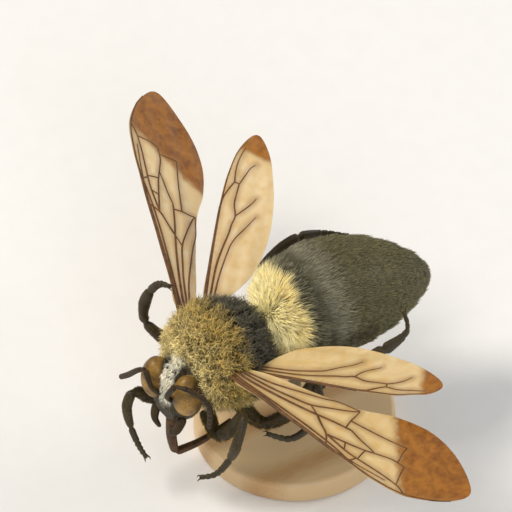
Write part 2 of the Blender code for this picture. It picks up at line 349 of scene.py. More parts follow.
def as_is(forward: np.ndarray, left: np.ndarray, up: np.ndarray) -> tuple:
    """Leave the unit sphere as it is."""
    return forward, left, up


def ball_rings(
    half: Triple, rings: int, sides: int, form: Callable[..., tuple] = as_is, pole: int = 0
) -> np.ndarray:
    """A reshaped ellipsoid as rings.

    Args:
        half: Half sizes along forward, left and up, in millimetres.
        rings: Rings from pole to pole.
        sides: Points in a ring.
        form: Reshapes the unit sphere's forward, left and up.
        pole: Which axis the poles lie on: 0 forward, 1 left.

    Returns:
        Offsets from the middle, as (rings, sides, 3).
    """
    polar = np.linspace(POLE_GAP, math.pi - POLE_GAP, rings)[:, None]
    turn = (np.arange(sides) / sides * TAU)[None]
    axial = np.cos(polar) * np.ones_like(turn)
    one, two = np.sin(polar) * np.cos(turn), np.sin(polar) * np.sin(turn)
    forward, left, up = (axial, one, two) if pole == 0 else (one, axial, two)
    return np.stack([np.asarray(axis) * size for axis, size in zip(form(forward, left, up), half)], -1)


def tube_rings(path: np.ndarray, wide: np.ndarray, thick: np.ndarray, sides: int, side: Triple) -> np.ndarray:
    """Oval rings along a path.

    Args:
        path: The middle line, as (n, 3).
        wide: Half width towards side, at each point.
        thick: Half width square to that, at each point.
        sides: Points in a ring.
        side: The direction that the width lies in.

    Returns:
        Rings, as (n, sides, 3).
    """
    ahead = unit(np.gradient(path, axis=0))
    wanted = np.asarray(side, float)
    across = unit(wanted - ahead * (ahead @ wanted)[:, None])
    other = np.cross(ahead, across)
    turn = np.arange(sides) / sides * TAU
    spread = across[:, None] * (wide[:, None] * np.cos(turn))[..., None]
    return path[:, None] + spread + other[:, None] * (thick[:, None] * np.sin(turn))[..., None]


def rounded(stations: Stations) -> np.ndarray:
    """Rows of place, half width and half thickness, which is the half width where a row gives none."""
    rows = np.array(stations, float)
    return rows if rows.shape[1] == 5 else np.column_stack((rows, rows[:, 3]))


def limb_rings(stations: np.ndarray, sides: int, side: Triple, spacing: float) -> np.ndarray:
    """Round-ended rings along a soft line through stations of place, width and thickness.

    Args:
        stations: Rows of forward, left, up, half width and half thickness.
        sides: Points in a ring.
        side: The direction that the width lies in.
        spacing: Distance between rings, in millimetres.

    Returns:
        Rings, as (n, sides, 3).
    """
    curve = smooth_curve(stations)
    total = lengths_along(curve[:, :3])[-1]
    near, far = curve[0, 3], curve[-1, 3]
    inner = np.arange(near, total - far, spacing)
    marks = np.unique(np.concatenate((END_RINGS * near, inner, total - END_RINGS * far)))
    rows = read_at(marks, curve)
    rounding = np.sqrt(np.clip(1 - (1 - np.clip((total - marks) / far, 0, 1)) ** 2, 0, 1))
    rounding = rounding * np.sqrt(np.clip(1 - (1 - np.clip(marks / near, 0, 1)) ** 2, 0, 1))
    return tube_rings(rows[:, :3], rows[:, 3] * rounding, rows[:, 4] * rounding, sides, side)


def add_piece(
    name: str,
    surface: Surface,
    finish: "Finish",
    replaces: tuple[str, ...] = (),
    crease: float = 60.0,
) -> bpy.types.Object:
    """Make a piece of the visual model that rides on the bee's one body.

    Args:
        name: The piece's name.
        surface: Its points and faces, in bee millimetres.
        finish: What it is made of.
        replaces: The solids that it stands for.
        crease: Edges that turn by more than this many degrees stay sharp.

    Returns:
        The new object.
    """
    mesh = bpy.data.meshes.new(name)
    corners = np.concatenate([face.ravel() for face in surface.faces])
    sizes = np.concatenate([np.full(len(face), face.shape[1]) for face in surface.faces])
    starts = np.concatenate(([0], np.cumsum(sizes)[:-1]))
    mesh.vertices.add(len(surface.points))
    mesh.vertices.foreach_set("co", BEE.row(surface.points).astype(np.float32).ravel())
    mesh.loops.add(len(corners))
    mesh.loops.foreach_set("vertex_index", corners.astype(np.int32))
    mesh.polygons.add(len(sizes))
    mesh.polygons.foreach_set("loop_start", starts.astype(np.int32))
    mesh.update(calc_edges=True)
    for mark, values in surface.marks.items():
        kind = "FLOAT_VECTOR" if values.ndim == 2 else "FLOAT"
        layer = mesh.attributes.new(mark, kind, "POINT")
        layer.data.foreach_set("vector" if values.ndim == 2 else "value", values.astype(np.float32).ravel())
    if surface.unwrap is not None:
        layer = mesh.uv_layers.new(name="OFBake")
        layer.data.foreach_set("uv", surface.unwrap[corners].astype(np.float32).ravel())
    mesh.shade_smooth()
    if crease < ALL_SMOOTH:
        mesh.set_sharp_from_angle(angle=math.radians(crease))
    mesh.materials.append(finish.material())
    piece = bpy.data.objects.new(name, mesh)
    bpy.context.scene.collection.objects.link(piece)
    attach(piece, "root")
    if replaces:
        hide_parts(*replaces)
    log.info("%s: %d faces", name, len(mesh.polygons))
    return piece


# ---------------------------------------------------------------------------------------------------
# Finishes


def linear(code: str) -> tuple[float, float, float, float]:
    """Turn an sRGB hex value into a linear colour.

    Args:
        code: Six hex digits after a #.

    Returns:
        Red, green, blue and an alpha of one.
    """
    shares = [int(code[i : i + 2], 16) / 255 for i in (1, 3, 5)]
    red, green, blue = (s / 12.92 if s <= 0.04045 else ((s + 0.055) / 1.055) ** 2.4 for s in shares)
    return red, green, blue, 1.0


def feed(tree: bpy.types.NodeTree, node: bpy.types.Node, inputs: dict | tuple) -> None:
    """Set or link a node's sockets.

    Args:
        tree: The node tree.
        node: The node to feed.
        inputs: Values by socket name or number, or one after another from the first socket. A value is
            a number, a colour, an output socket, or a node for its first output.
    """
    for key, value in inputs.items() if isinstance(inputs, dict) else enumerate(inputs):
        source = value.outputs[0] if isinstance(value, bpy.types.Node) else value
        if isinstance(source, bpy.types.NodeSocket):
            tree.links.new(source, node.inputs[key])
        else:
            node.inputs[key].default_value = source


def add_node(
    tree: bpy.types.NodeTree,
    kind: str,
    inputs: dict | tuple = (),
    stops: Stops = (),
    **settings: object,
) -> bpy.types.Node:
    """Add a shader node with its settings and links.

    Args:
        tree: The node tree.
        kind: The node's type without the ShaderNode in front.
        inputs: What feeds its sockets.
        stops: A colour ramp's places and hex colours.
        settings: Attributes to set on the node.

    Returns:
        The new node.
    """
    node = tree.nodes.new(kind if kind.startswith("Node") else f"ShaderNode{kind}")
    for key, value in settings.items():
        setattr(node, key, value)
    feed(tree, node, inputs)
    for i, (place, code) in enumerate(stops):
        element = node.color_ramp.elements[i] if i < 2 else node.color_ramp.elements.new(place)
        element.position = place
        element.color = linear(code)
    return node


def per_mm(size: float) -> float:
    """The texture scale, for coordinates in metres, that gives features of a size in millimetres."""
    return 1.0 / (size * MM)


def metres(*sizes: float) -> tuple[float, ...]:
    """Turn millimetres into metres."""
    return tuple(size * MM for size in sizes)


@dataclass(frozen=True)
class Finish:
    """What a surface is made of. Each kind fills in its own nodes."""

    title: str

    def material(self) -> bpy.types.Material:
        """The finish's material, made once.

        Returns:
            The material, under the finish's title.
        """
        found = bpy.data.materials.get(self.title)
        if found:
            return found
        made = bpy.data.materials.new(self.title)
        made.use_nodes = True
        tree = made.node_tree
        tree.nodes.clear()
        shader = add_node(tree, "BsdfPrincipled")
        add_node(tree, "OutputMaterial", {"Surface": shader})
        feed(tree, shader, self.dress(tree))
        return made

    def dress(self, tree: bpy.types.NodeTree) -> dict:
        """Add the finish's own nodes.

        Args:
            tree: The material's nodes.

        Returns:
            What feeds the Principled shader, by socket.
        """
        raise NotImplementedError


@dataclass(frozen=True)
class Markings:
    """The bee's bands, read from a place on the skin, so that skin and coat agree. One pale grey band on the
    abdomen's first plates is a painted sheen, not a marking.

    Bands lie across the body, at millimetres forward of the wing roots. The other places are pairs of
    millimetres, from where a marking starts to show to where it is full.
    """

    tail: float = -17.0
    front: float = 7.0
    stops: Stops = (
        (-17.0, "#645D3A"),
        (-12.0, "#746D42"),
        (-8.5, "#6E6740"),
        # painted sheen: a pale grey band at the abdomen's front, standing for the light's highlight on its
        # first plates
        (-6.9, "#989378"),
        (-5.7, "#514C30"),
        (-4.95, "#4A452C"),
        (-4.5, "#F2E1A0"),
        (-3.2, "#FFF6C2"),
        (-2.2, "#FBEAA8"),
        (-1.9, "#2E2717"),
        (-0.6, "#211B11"),
        (0.0, "#352B18"),
        (0.45, "#B3953F"),
        (1.6, "#CFB25A"),
        (2.8, "#F2DE98"),
        (4.0, "#ECD890"),
        (5.4, "#5A4E33"),
    )
    tuft: float = 0.9
    dark: str = "#4A3D1C"
    banded_above: tuple[float, float] = (-4.2, -3.2)
    banded_within: tuple[float, float] = (4.2, 4.06)
    face: str = "#40331A"
    blaze: str = "#FFFAE6"
    blaze_within: tuple[float, float] = (0.60, 0.44)
    blaze_above: tuple[float, float] = (-0.5, 0.3)
    head_reach: Triple = (1.75, 2.75, 3.35)

    def head_masks(self, tree: bpy.types.NodeTree, local: bpy.types.Node) -> tuple:
        """How far a place lies on the head, and how far in the pale blaze between the eyes.

        Args:
            tree: The node tree to build in.
            local: Gives the place from the wing roots, in the row's axes.

        Returns:
            The nodes that give the head's share and the blaze's share.
        """
        forward, left, up = HEAD_CENTRE
        moved = add_node(tree, "VectorMath", (local, metres(left, -forward, up)), operation="SUBTRACT")
        turning = {"Vector": moved, "Angle": math.radians(-HEAD_YAW)}
        turned = add_node(tree, "VectorRotate", turning, rotation_type="Z_AXIS")
        deep, wide, high = (per_mm(reach) for reach in self.head_reach)
        scaled = add_node(tree, "VectorMath", (turned, (wide, deep, high)), operation="MULTIPLY")
        reach = add_node(tree, "VectorMath", (scaled,), operation="LENGTH").outputs["Value"]
        on_head = add_node(tree, "MapRange", (reach, 1.02, 0.98))
        part = add_node(tree, "SeparateXYZ", (turned,))
        aside = add_node(tree, "Math", (part.outputs["X"],), operation="ABSOLUTE")
        middle = add_node(tree, "MapRange", (aside, *metres(*self.blaze_within)))
        above = add_node(tree, "MapRange", (part.outputs["Z"], *metres(*self.blaze_above)))
        return on_head, add_node(tree, "Math", (middle, above), operation="MULTIPLY")

    def group(self) -> bpy.types.NodeTree:
        """The node group that turns a place in the row into a coat colour.

        Returns:
            The group, made once.
        """
        found = bpy.data.node_groups.get("Bee markings")
        if found:
            return found
        tree = bpy.data.node_groups.new("Bee markings", "ShaderNodeTree")
        tree.interface.new_socket("Place", in_out="INPUT", socket_type="NodeSocketVector")
        tree.interface.new_socket("Colour", in_out="OUTPUT", socket_type="NodeSocketColor")
        entry = add_node(tree, "NodeGroupInput")
        local = add_node(tree, "VectorMath", (entry, tuple(BEE.origin())), operation="SUBTRACT")
        ragged = add_node(tree, "TexNoise", {"Vector": local, "Scale": per_mm(self.tuft), "Detail": 3.0})
        part = add_node(tree, "SeparateXYZ", (local,))
        wander = add_node(tree, "MapRange", (ragged, 0.0, 1.0, *metres(-self.tuft, self.tuft)))
        back = add_node(tree, "Math", (part.outputs["Y"], wander), operation="ADD")
        share = add_node(tree, "MapRange", (back, *metres(-self.tail, -self.front)))
        span = self.front - self.tail
        stops = tuple(((place - self.tail) / span, code) for place, code in self.stops)
        bands = add_node(tree, "ValToRGB", (share,), stops)
        # the pile is dark on the breast, and on all that hangs below it or stands out beside it
        height = (part.outputs["Z"], *metres(*self.banded_above))
        above = add_node(tree, "MapRange", height, interpolation_type="SMOOTHSTEP")
        aside = add_node(tree, "Math", (part.outputs["X"],), operation="ABSOLUTE")
        beside = add_node(tree, "MapRange", (aside, *metres(*self.banded_within)))
        within = add_node(tree, "Math", (above, beside), operation="MULTIPLY")
        body = add_node(tree, "Mix", {0: within, 6: linear(self.dark), 7: bands}, data_type="RGBA").outputs[2]
        on_head, in_blaze = self.head_masks(tree, local)
        tones = {0: in_blaze, 6: linear(self.face), 7: linear(self.blaze)}
        head = add_node(tree, "Mix", tones, data_type="RGBA").outputs[2]
        whole = add_node(tree, "Mix", {0: on_head, 6: body, 7: head}, data_type="RGBA").outputs[2]
        add_node(tree, "NodeGroupOutput", (whole,))
        return tree


MARKINGS = Markings()
CHITIN_IOR = 1.56
CLOUD = (0.2, 0.8)  # the span that a noise's values all but fill


@dataclass(frozen=True)
class Pile(Finish):
    """Branched chitin hair: soft and matt. Each lock is painted paler at its tip, a painted light for the
    light that passes through it, and darker at its root, a painted shade for the shade deep in the coat.

    root_shade is a lock's painted lightness at its root, and shaded how far up the painted shade reaches.
    spread is from the darkest lock's lightness to the palest's.
    """

    root_shade: float = 0.42
    shaded: float = 0.55
    spread: tuple[float, float] = (0.6, 1.5)
    gloss: float = 0.25
    fuzz: float = 0.06
    # the painted light at each lock's tip: its colour, and how much of it the tip takes
    tip_light: str = "#FFF6D0"
    tip_light_share: float = 0.2
    banded: bool = True
    plain: str = "#4A3A0E"
    plain_light: str = "#705A18"

    def dress(self, tree: bpy.types.NodeTree) -> dict:
        """Colour each lock by its root's band, no two quite alike, with painted shade at the root and painted
        light at the tip.

        Args:
            tree: The material's nodes.

        Returns:
            What feeds each of the shader's sockets.
        """
        along = add_node(tree, "Attribute", attribute_name="along").outputs["Fac"]
        shade = add_node(tree, "Attribute", attribute_name="shade").outputs["Fac"]
        if self.banded:
            root = add_node(tree, "Attribute", attribute_name="root").outputs["Vector"]
            colour = add_node(tree, "Group", (root,), node_tree=MARKINGS.group())
        else:
            colour = add_node(tree, "ValToRGB", (shade,), ((0.0, self.plain), (1.0, self.plain_light)))
        # painted shade: each lock darker towards its root, for the shade deep in the coat
        deep = add_node(tree, "MapRange", (along, 0.0, self.shaded, self.root_shade, 1.0))
        vary = add_node(tree, "MapRange", (shade, 0.0, 1.0, *self.spread))
        value = add_node(tree, "Math", (deep, vary), operation="MULTIPLY")
        toned = add_node(tree, "HueSaturation", {"Value": value, "Color": colour})
        # painted light: each lock paler towards its tip, for the light passing through it
        tip_lit = add_node(tree, "MapRange", (along, 0.5, 1.0, 0.0, self.tip_light_share))
        tipped = add_node(tree, "Mix", {0: tip_lit, 6: toned, 7: linear(self.tip_light)}, data_type="RGBA")
        return {
            "Base Color": tipped.outputs[2],
            "Roughness": add_node(tree, "MapRange", (shade, 0.0, 1.0, 0.5, 0.75)),
            "IOR": 1.55,
            "Specular IOR Level": self.gloss,
            "Sheen Weight": self.fuzz,
            "Sheen Roughness": 0.4,
        }


@dataclass(frozen=True)
class Cuticle(Finish):
    """Tanned chitin, hardened from within: near black, with a polish broken by fine punctures."""

    deep: str = "#241D0E"
    banded_share: float = 0.55
    puncture: float = 0.09

    def dress(self, tree: bpy.types.NodeTree) -> dict:
        """Stain the shell with the coat's bands and pit it.

        Args:
            tree: The material's nodes.

        Returns:
            What feeds each of the shader's sockets.
        """
        where = add_node(tree, "TexCoord").outputs["Object"]
        bands = add_node(tree, "Group", (where,), node_tree=MARKINGS.group())
        mottle = add_node(tree, "TexNoise", {"Vector": where, "Scale": per_mm(0.5), "Detail": 4.0})
        share = add_node(tree, "MapRange", (mottle, 0.3, 0.7, self.banded_share * 0.4, self.banded_share))
        mixed = add_node(tree, "Mix", {0: share, 6: linear(self.deep), 7: bands}, data_type="RGBA")
        rough = add_node(tree, "MapRange", (mottle, *CLOUD, 0.38, 0.6))
        pits = add_node(tree, "TexVoronoi", {"Vector": where, "Scale": per_mm(self.puncture)})
        relief = add_node(tree, "Bump", {"Strength": 0.35, "Distance": 0.02 * MM, "Height": pits})
        return {
            "Base Color": mixed.outputs[2],
            "Roughness": rough,
            "Normal": relief,
            "IOR": CHITIN_IOR,
            "Specular IOR Level": 0.35,
        }


@dataclass(frozen=True)
class Horn(Finish):
    """Plain chitin of feelers, jaws, claws, tongue and veins: moulded thin, brown where light passes."""

    dark: str = "#1C150D"
    light: str = "#4A3218"
    grain: float = 0.16
    roughness: float = 0.3

    def dress(self, tree: bpy.types.NodeTree) -> dict:
        """Cloud the brown and pit it finely.

        Args:
            tree: The material's nodes.

        Returns:
            What feeds each of the shader's sockets.
        """
        where = add_node(tree, "TexCoord").outputs["Object"]
        cloud = add_node(tree, "TexNoise", {"Vector": where, "Scale": per_mm(self.grain * 3), "Detail": 5.0})
        tone = add_node(tree, "ValToRGB", (cloud,), ((0.3, self.dark), (0.75, self.light)))
        rough = add_node(tree, "MapRange", (cloud, *CLOUD, self.roughness, self.roughness + 0.2))
        pits = add_node(tree, "TexVoronoi", {"Vector": where, "Scale": per_mm(self.grain / 2)})
        relief = add_node(tree, "Bump", {"Strength": 0.3, "Distance": 0.015 * MM, "Height": pits})
        return {
            "Base Color": tone,
            "Roughness": rough,
            "Normal": relief,
            "IOR": CHITIN_IOR,
            "Specular IOR Level": 0.22,
        }


@dataclass(frozen=True)
class EyeGlass(Finish):
    """Clear chitin lenses over brown pigment, grown as packed hexagons: wet gloss with a fine grain.

    A facet is about 0.025 mm across, too fine to show, so it is drawn at 0.075 mm.
    """

    facet: float = 0.075
    deep: str = "#50370C"
    warm: str = "#CC9C48"

    def dress(self, tree: bpy.types.NodeTree) -> dict:
        """Cloud the pigment and round each facet.

        Args:
            tree: The material's nodes.

        Returns:
            What feeds each of the shader's sockets.
        """
        where = add_node(tree, "TexCoord").outputs["Object"]
        cloud = add_node(tree, "TexNoise", {"Vector": where, "Scale": per_mm(1.4), "Detail": 2.0})
        tone = add_node(tree, "ValToRGB", (cloud,), ((0.30, self.deep), (0.72, self.warm)))
        cells = add_node(tree, "TexVoronoi", {"Vector": where, "Scale": per_mm(self.facet)})
        edge = add_node(tree, "MapRange", (cells, 0.2, 0.75, 1.0, 0.55))
        toned = add_node(tree, "HueSaturation", {"Value": edge, "Color": tone})
        lens = {"Strength": 0.25, "Distance": 0.02 * MM, "Height": cells}
        return {
            "Base Color": toned,
            "Normal": add_node(tree, "Bump", lens, invert=True),
            "Roughness": 0.42,
            "IOR": 1.5,
            "Specular IOR Level": 0.3,
            "Coat Weight": 0.07,
            "Coat Roughness": 0.12,
        }


@dataclass(frozen=True)
class WingFilm(Finish):
    """Two sheets of clear chitin dried flat on each other: straw film, smoke brown at the tip.

    tip is where the smoke starts, in wing lengths, and slant how far its edge leans back. clear and
    solid are how much of the light the straw and the smoke stop.
    """

    straw: str = "#DDB774"
    pale: str = "#F0D8A0"
    smoke: str = "#A66A20"
    burnt: str = "#7A4614"
    vein_stain: str = "#9A6A34"
    tip: float = 0.73
    slant: float = 0.9
    clear: float = 0.68
    solid: float = 0.96

    def dress(self, tree: bpy.types.NodeTree) -> dict:
        """Shade the film by its place on the wing: along in x, behind in y, distance to a vein in z.

        Args:
            tree: The material's nodes.

        Returns:
            What feeds each of the shader's sockets.
        """
        where = add_node(tree, "TexCoord").outputs["Object"]
        chord = add_node(tree, "Attribute", attribute_name="chord").outputs["Vector"]
        along, behind, to_vein = add_node(tree, "SeparateXYZ", (chord,)).outputs
        clouds = {"Vector": where, "Scale": per_mm(0.7), "Detail": 6.0, "Roughness": 0.65}
        mottle = add_node(tree, "TexNoise", clouds)
        slanted = add_node(tree, "Math", (behind, self.slant, along), operation="MULTIPLY_ADD")
        ragged = add_node(tree, "Math", (mottle, 0.10, slanted), operation="MULTIPLY_ADD")
        smoky = (ragged, self.tip + 0.03, self.tip + 0.085)
        tip = add_node(tree, "MapRange", smoky, interpolation_type="SMOOTHSTEP")
        film = add_node(tree, "ValToRGB", (mottle,), ((0.3, self.straw), (0.7, self.pale)))
        smoke = add_node(tree, "ValToRGB", (mottle,), ((0.33, self.burnt), (0.62, self.smoke)))
        stained = add_node(tree, "Mix", {0: tip, 6: film, 7: smoke}, data_type="RGBA").outputs[2]
        near = add_node(tree, "MapRange", (to_vein, 0.05, 0.45, 0.55, 0.0))
        veined = add_node(tree, "Mix", {0: near, 6: stained, 7: linear(self.vein_stain)}, data_type="RGBA")
        clear = add_node(tree, "MapRange", (mottle, 0.3, 0.7, self.clear + 0.1, self.clear - 0.06))
        alpha = add_node(tree, "Mix", {0: tip, 2: clear, 3: self.solid}, data_type="FLOAT")
        wrinkle = add_node(tree, "TexNoise", {"Vector": where, "Scale": per_mm(0.25), "Detail": 3.0})
        return {
            "Base Color": veined.outputs[2],
            "Alpha": alpha,
            "Normal": add_node(tree, "Bump", {"Strength": 0.35, "Distance": 0.03 * MM, "Height": wrinkle}),
            "Roughness": 0.3,
            "IOR": CHITIN_IOR,
        }


@dataclass(frozen=True)
class Maple(Finish):
    """Maple turned on a lathe and waxed: close grain of fine long streaks, a low even shine."""

    pale: str = "#D8B98A"
    streak: str = "#B98F5C"
    ring: float = 0.8
    pore: float = 0.12

    def dress(self, tree: bpy.types.NodeTree) -> dict:
        """Draw year rings as bent bands, with pores along them.

        Args:
            tree: The material's nodes.

        Returns:
            What feeds each of the shader's sockets.
        """
        where = add_node(tree, "TexCoord").outputs["Object"]
        laid = add_node(tree, "Mapping", {0: where, "Scale": (1.0, 0.12, 1.0)})
        warp = add_node(tree, "TexNoise", {"Vector": laid, "Scale": per_mm(3.0), "Detail": 3.0})
        bend = (warp.outputs["Color"], metres(1.2, 1.2, 1.2), laid)
        bent = add_node(tree, "VectorMath", bend, operation="MULTIPLY_ADD")
        bands = {"Vector": bent, "Scale": per_mm(self.ring) / 20, "Distortion": 2.0, "Detail": 2.0}
        rings = add_node(tree, "TexWave", bands, bands_direction="X").outputs["Fac"]
        pores = add_node(tree, "TexNoise", {"Vector": laid, "Scale": per_mm(self.pore), "Detail": 2.0})
        mixed = add_node(tree, "Math", (pores, 0.5, rings), operation="MULTIPLY_ADD")
        return {
            "Base Color": add_node(tree, "ValToRGB", (mixed,), ((0.15, self.streak), (0.85, self.pale))),
            "Roughness": add_node(tree, "MapRange", (pores, *CLOUD, 0.32, 0.5)),
            "Normal": add_node(tree, "Bump", {"Strength": 0.15, "Distance": 0.02 * MM, "Height": pores}),
        }


@dataclass(frozen=True)
class BrushedSteel(Finish):
    """Stainless steel rod, brushed along its length: grey metal with fine lengthwise lines."""

    grey: str = "#A9A9A6"
    shadow: str = "#8F8F8C"
    scratch: float = 0.05

    def dress(self, tree: bpy.types.NodeTree) -> dict:
        """Stretch a fine noise along the rod into brush lines.

        Args:
            tree: The material's nodes.

        Returns:
            What feeds each of the shader's sockets.
        """
        where = add_node(tree, "TexCoord").outputs["Object"]
        drawn = add_node(tree, "Mapping", {0: where, "Scale": (1.0, 1.0, 0.03)})
        lines = add_node(tree, "TexNoise", {"Vector": drawn, "Scale": per_mm(self.scratch), "Detail": 2.0})
        return {
            "Roughness": add_node(tree, "MapRange", (lines, *CLOUD, 0.22, 0.42)),
            "Base Color": add_node(tree, "ValToRGB", (lines,), ((0.2, self.shadow), (0.8, self.grey))),
            "Normal": add_node(tree, "Bump", {"Strength": 0.2, "Distance": 0.01 * MM, "Height": lines}),
            "Metallic": 1.0,
        }


@dataclass(frozen=True)
class PaperFloor(Finish):
    """Matt white card: pale and even, with only a breath of fibre in it."""

    white: str = "#F2F0EB"
    fibre_white: str = "#EFEDE8"

    def dress(self, tree: bpy.types.NodeTree) -> dict:
        """Keep the card all but flat.

        Args:
            tree: The material's nodes.

        Returns:
            What feeds each of the shader's sockets.
        """
        where = add_node(tree, "TexCoord").outputs["Object"]
        fibre = add_node(tree, "TexNoise", {"Vector": where, "Scale": per_mm(1.5), "Detail": 3.0})
        tone = add_node(tree, "ValToRGB", (fibre,), ((0.2, self.fibre_white), (0.8, self.white)))
        return {"Base Color": tone, "Roughness": 0.85}


CUTICLE = Cuticle("Tanned chitin cuticle, punctured")
HORN = Horn("Chitin of feelers and jaws", dark="#1F160A", light="#46320F", roughness=0.38)
CLAW = Horn("Chitin claw, drawn thin", dark="#160F08", light="#5A3A1A", grain=0.1, roughness=0.22)
TONGUE = Horn("Chitin tongue sheath", dark="#2A1A0C", light="#6E4A24", roughness=0.28)
VEIN = Horn("Wing vein, hollow chitin tube", dark="#4A2E14", light="#7C5229", roughness=0.35)
EYE = EyeGlass("Compound eye, packed chitin lenses")
OCELLUS = EyeGlass("Ocellus, single chitin lens", facet=1.2, deep="#20120A", warm="#6A4424")
FILM = WingFilm("Wing film, dried chitin sheet")
HIND_FILM = WingFilm("Hind wing film, dried chitin sheet", tip=0.90, slant=0.35)
PILE = Pile("Branched pile, grown in bands")
# the coats differ in painted shade at the roots, deepest on the thorax and least on the waist and face, and
# in painted light at the tips, most on the waist
DEEP_PILE = Pile(
    "Long branched pile of the thorax, grown in bands", root_shade=0.1, shaded=0.8, spread=(0.25, 2.1)
)
WAIST_PILE = Pile(
    "Silky pile of the waist, grown in bands", root_shade=0.85, spread=(0.95, 1.8), tip_light_share=0.45
)
FACE_PILE = Pile("Short pile of the head, grown in bands", root_shade=0.85, spread=(0.9, 1.9), tip_light_share=0.3)
LEG_PILE = Pile(
    "Leg bristles, grown dark",
    root_shade=0.3,
    spread=(0.35, 2.3),
    gloss=0.05,
    fuzz=0.0,
    tip_light_share=0.03,
    banded=False,
)
MAPLE = Maple("Turned maple, waxed")
STEEL = BrushedSteel("Stainless steel, brushed")
CARD = PaperFloor("Matt card")


# ---------------------------------------------------------------------------------------------------
# Coat

LOCK_SIDES = 3
SUNK = 0.03
LEAST_RISE = 0.12
CLUMP_WIDTH = 0.9
CLUMP_SEED = 7
BAKE_PATCH = 0.0015


@dataclass(frozen=True)
class Lock:
    """One kind of lock of hair: its size in millimetres, and how it bends, strays, clumps and curls."""

    length: float
    width: float
    bend: float
    loose: float
    clump: float
    rings: int
    curl: float = 0.0
    turns: float = 0.0

    def paths(
        self, roots: Roots, flow: np.ndarray, rng: np.random.Generator, scale: np.ndarray, lift: np.ndarray
    ) -> tuple[np.ndarray, np.ndarray, np.ndarray]:
        """Run a bent line from each root, sunk a little at its foot.

        Args:
            roots: Where the locks stand.
            flow: The lie of the coat at each root, as (n, 3).
            rng: The source of chance.
            scale: Each lock's length against the kind's.
            lift: How far each stands out, from 0 flat to 1 upright.

        Returns:
            The lines as (n, rings + 1, 3), and two directions square to each one's start, as (n, 3).
        """
        count, out, stand = len(roots.places), roots.normals, lift[:, None]
        lie = unit(flow - out * dots(flow, out)[:, None])
        clumps = ripple(roots.places, CLUMP_WIDTH, CLUMP_SEED)
        sway = rng.normal(size=(count, 3)) * self.loose + clumps * self.clump
        start = unit(out * stand + lie * (1 - stand) + sway * (0.4 + stand))
        start = unit(start + out * np.clip(LEAST_RISE - dots(start, out)[:, None], 0, None))
        finish = unit(start * (1 - self.bend) + (lie + sway * 0.6) * self.bend)
        length = (self.length * scale * rng.uniform(0.75, 1.12, count))[:, None, None]
        t = np.linspace(0, 1, self.rings + 1)[:, None]
        line = start[:, None] * (t - t * t / 2) + finish[:, None] * (t * t / 2)
        path = roots.places[:, None] - out[:, None] * SUNK + line * length
        side = unit(np.cross(start, unit(rng.normal(size=(count, 3)))))
        other = np.cross(start, side)
        if self.curl:
            phase = rng.uniform(0, TAU, (count, 1, 1))
            wave = TAU * self.turns * t + phase
            swing = side[:, None] * (np.sin(wave) - np.sin(phase))
            swing = swing + other[:, None] * (np.cos(wave) - np.cos(phase))
            path = path + swing * (self.curl * length) * np.sqrt(t)
        return path, side, other

    def grown(
        self, roots: Roots, flow: np.ndarray, rng: np.random.Generator, scale: np.ndarray, lift: np.ndarray
    ) -> Surface:
        """Grow a three-sided tapering lock from each root.

        Args:
            roots: Where the locks stand.
            flow: The lie of the coat at each root, as (n, 3).
            rng: The source of chance.
            scale: Each lock's length against the kind's.
            lift: How far each stands out, from 0 flat to 1 upright.

        Returns:
            All the locks, with root, along and shade marks and the bake unwrap.
        """
        path, side, other = self.paths(roots, flow, rng, scale, lift)
        count, steps = len(path), self.rings
        share = np.linspace(0, 1, steps, endpoint=False)
        taper = 0.1 + 0.9 * (1 - share) ** 0.7
        thick = self.width * rng.uniform(0.75, 1.25, (count, 1)) * taper
        spin = np.arange(LOCK_SIDES)
        turn = spin / LOCK_SIDES * TAU
        ring = side[:, None] * np.cos(turn)[:, None] + other[:, None] * np.sin(turn)[:, None]
        body = path[:, :steps, None] + ring[:, None] * thick[..., None, None]
        points = np.concatenate((body.reshape(count, -1, 3), path[:, -1:]), 1)
        per = steps * LOCK_SIDES + 1
        first = (np.arange(count) * per)[:, None, None]
        last = (steps - 1) * LOCK_SIDES
        tip = np.stack((last + spin, last + (spin + 1) % LOCK_SIDES, np.full(LOCK_SIDES, per - 1)), 1)
        quads = (ring_quads(steps, LOCK_SIDES) + first).reshape(-1, 4)
        triangles = (np.concatenate((tip, spin[None, ::-1])) + first).reshape(-1, 3)
        along = np.append(np.repeat(share, LOCK_SIDES), 1.0)
        across = np.append(np.tile(np.cos(turn), steps), 0.0)
        marks = {
            "root": np.repeat(BEE.row(roots.places), per, 0),
            "along": np.tile(along, count),
            "shade": np.repeat(rng.random(count), per),
        }
        patch = np.stack((across, along * 2 - 1), 1) * BAKE_PATCH
        unwrap = (roots.unwrap[:, None] * 0.99 + 0.005 + patch).reshape(-1, 2)
        return Surface(points.reshape(-1, 3), [quads, triangles], marks, unwrap)


# ---------------------------------------------------------------------------------------------------
# Body masses


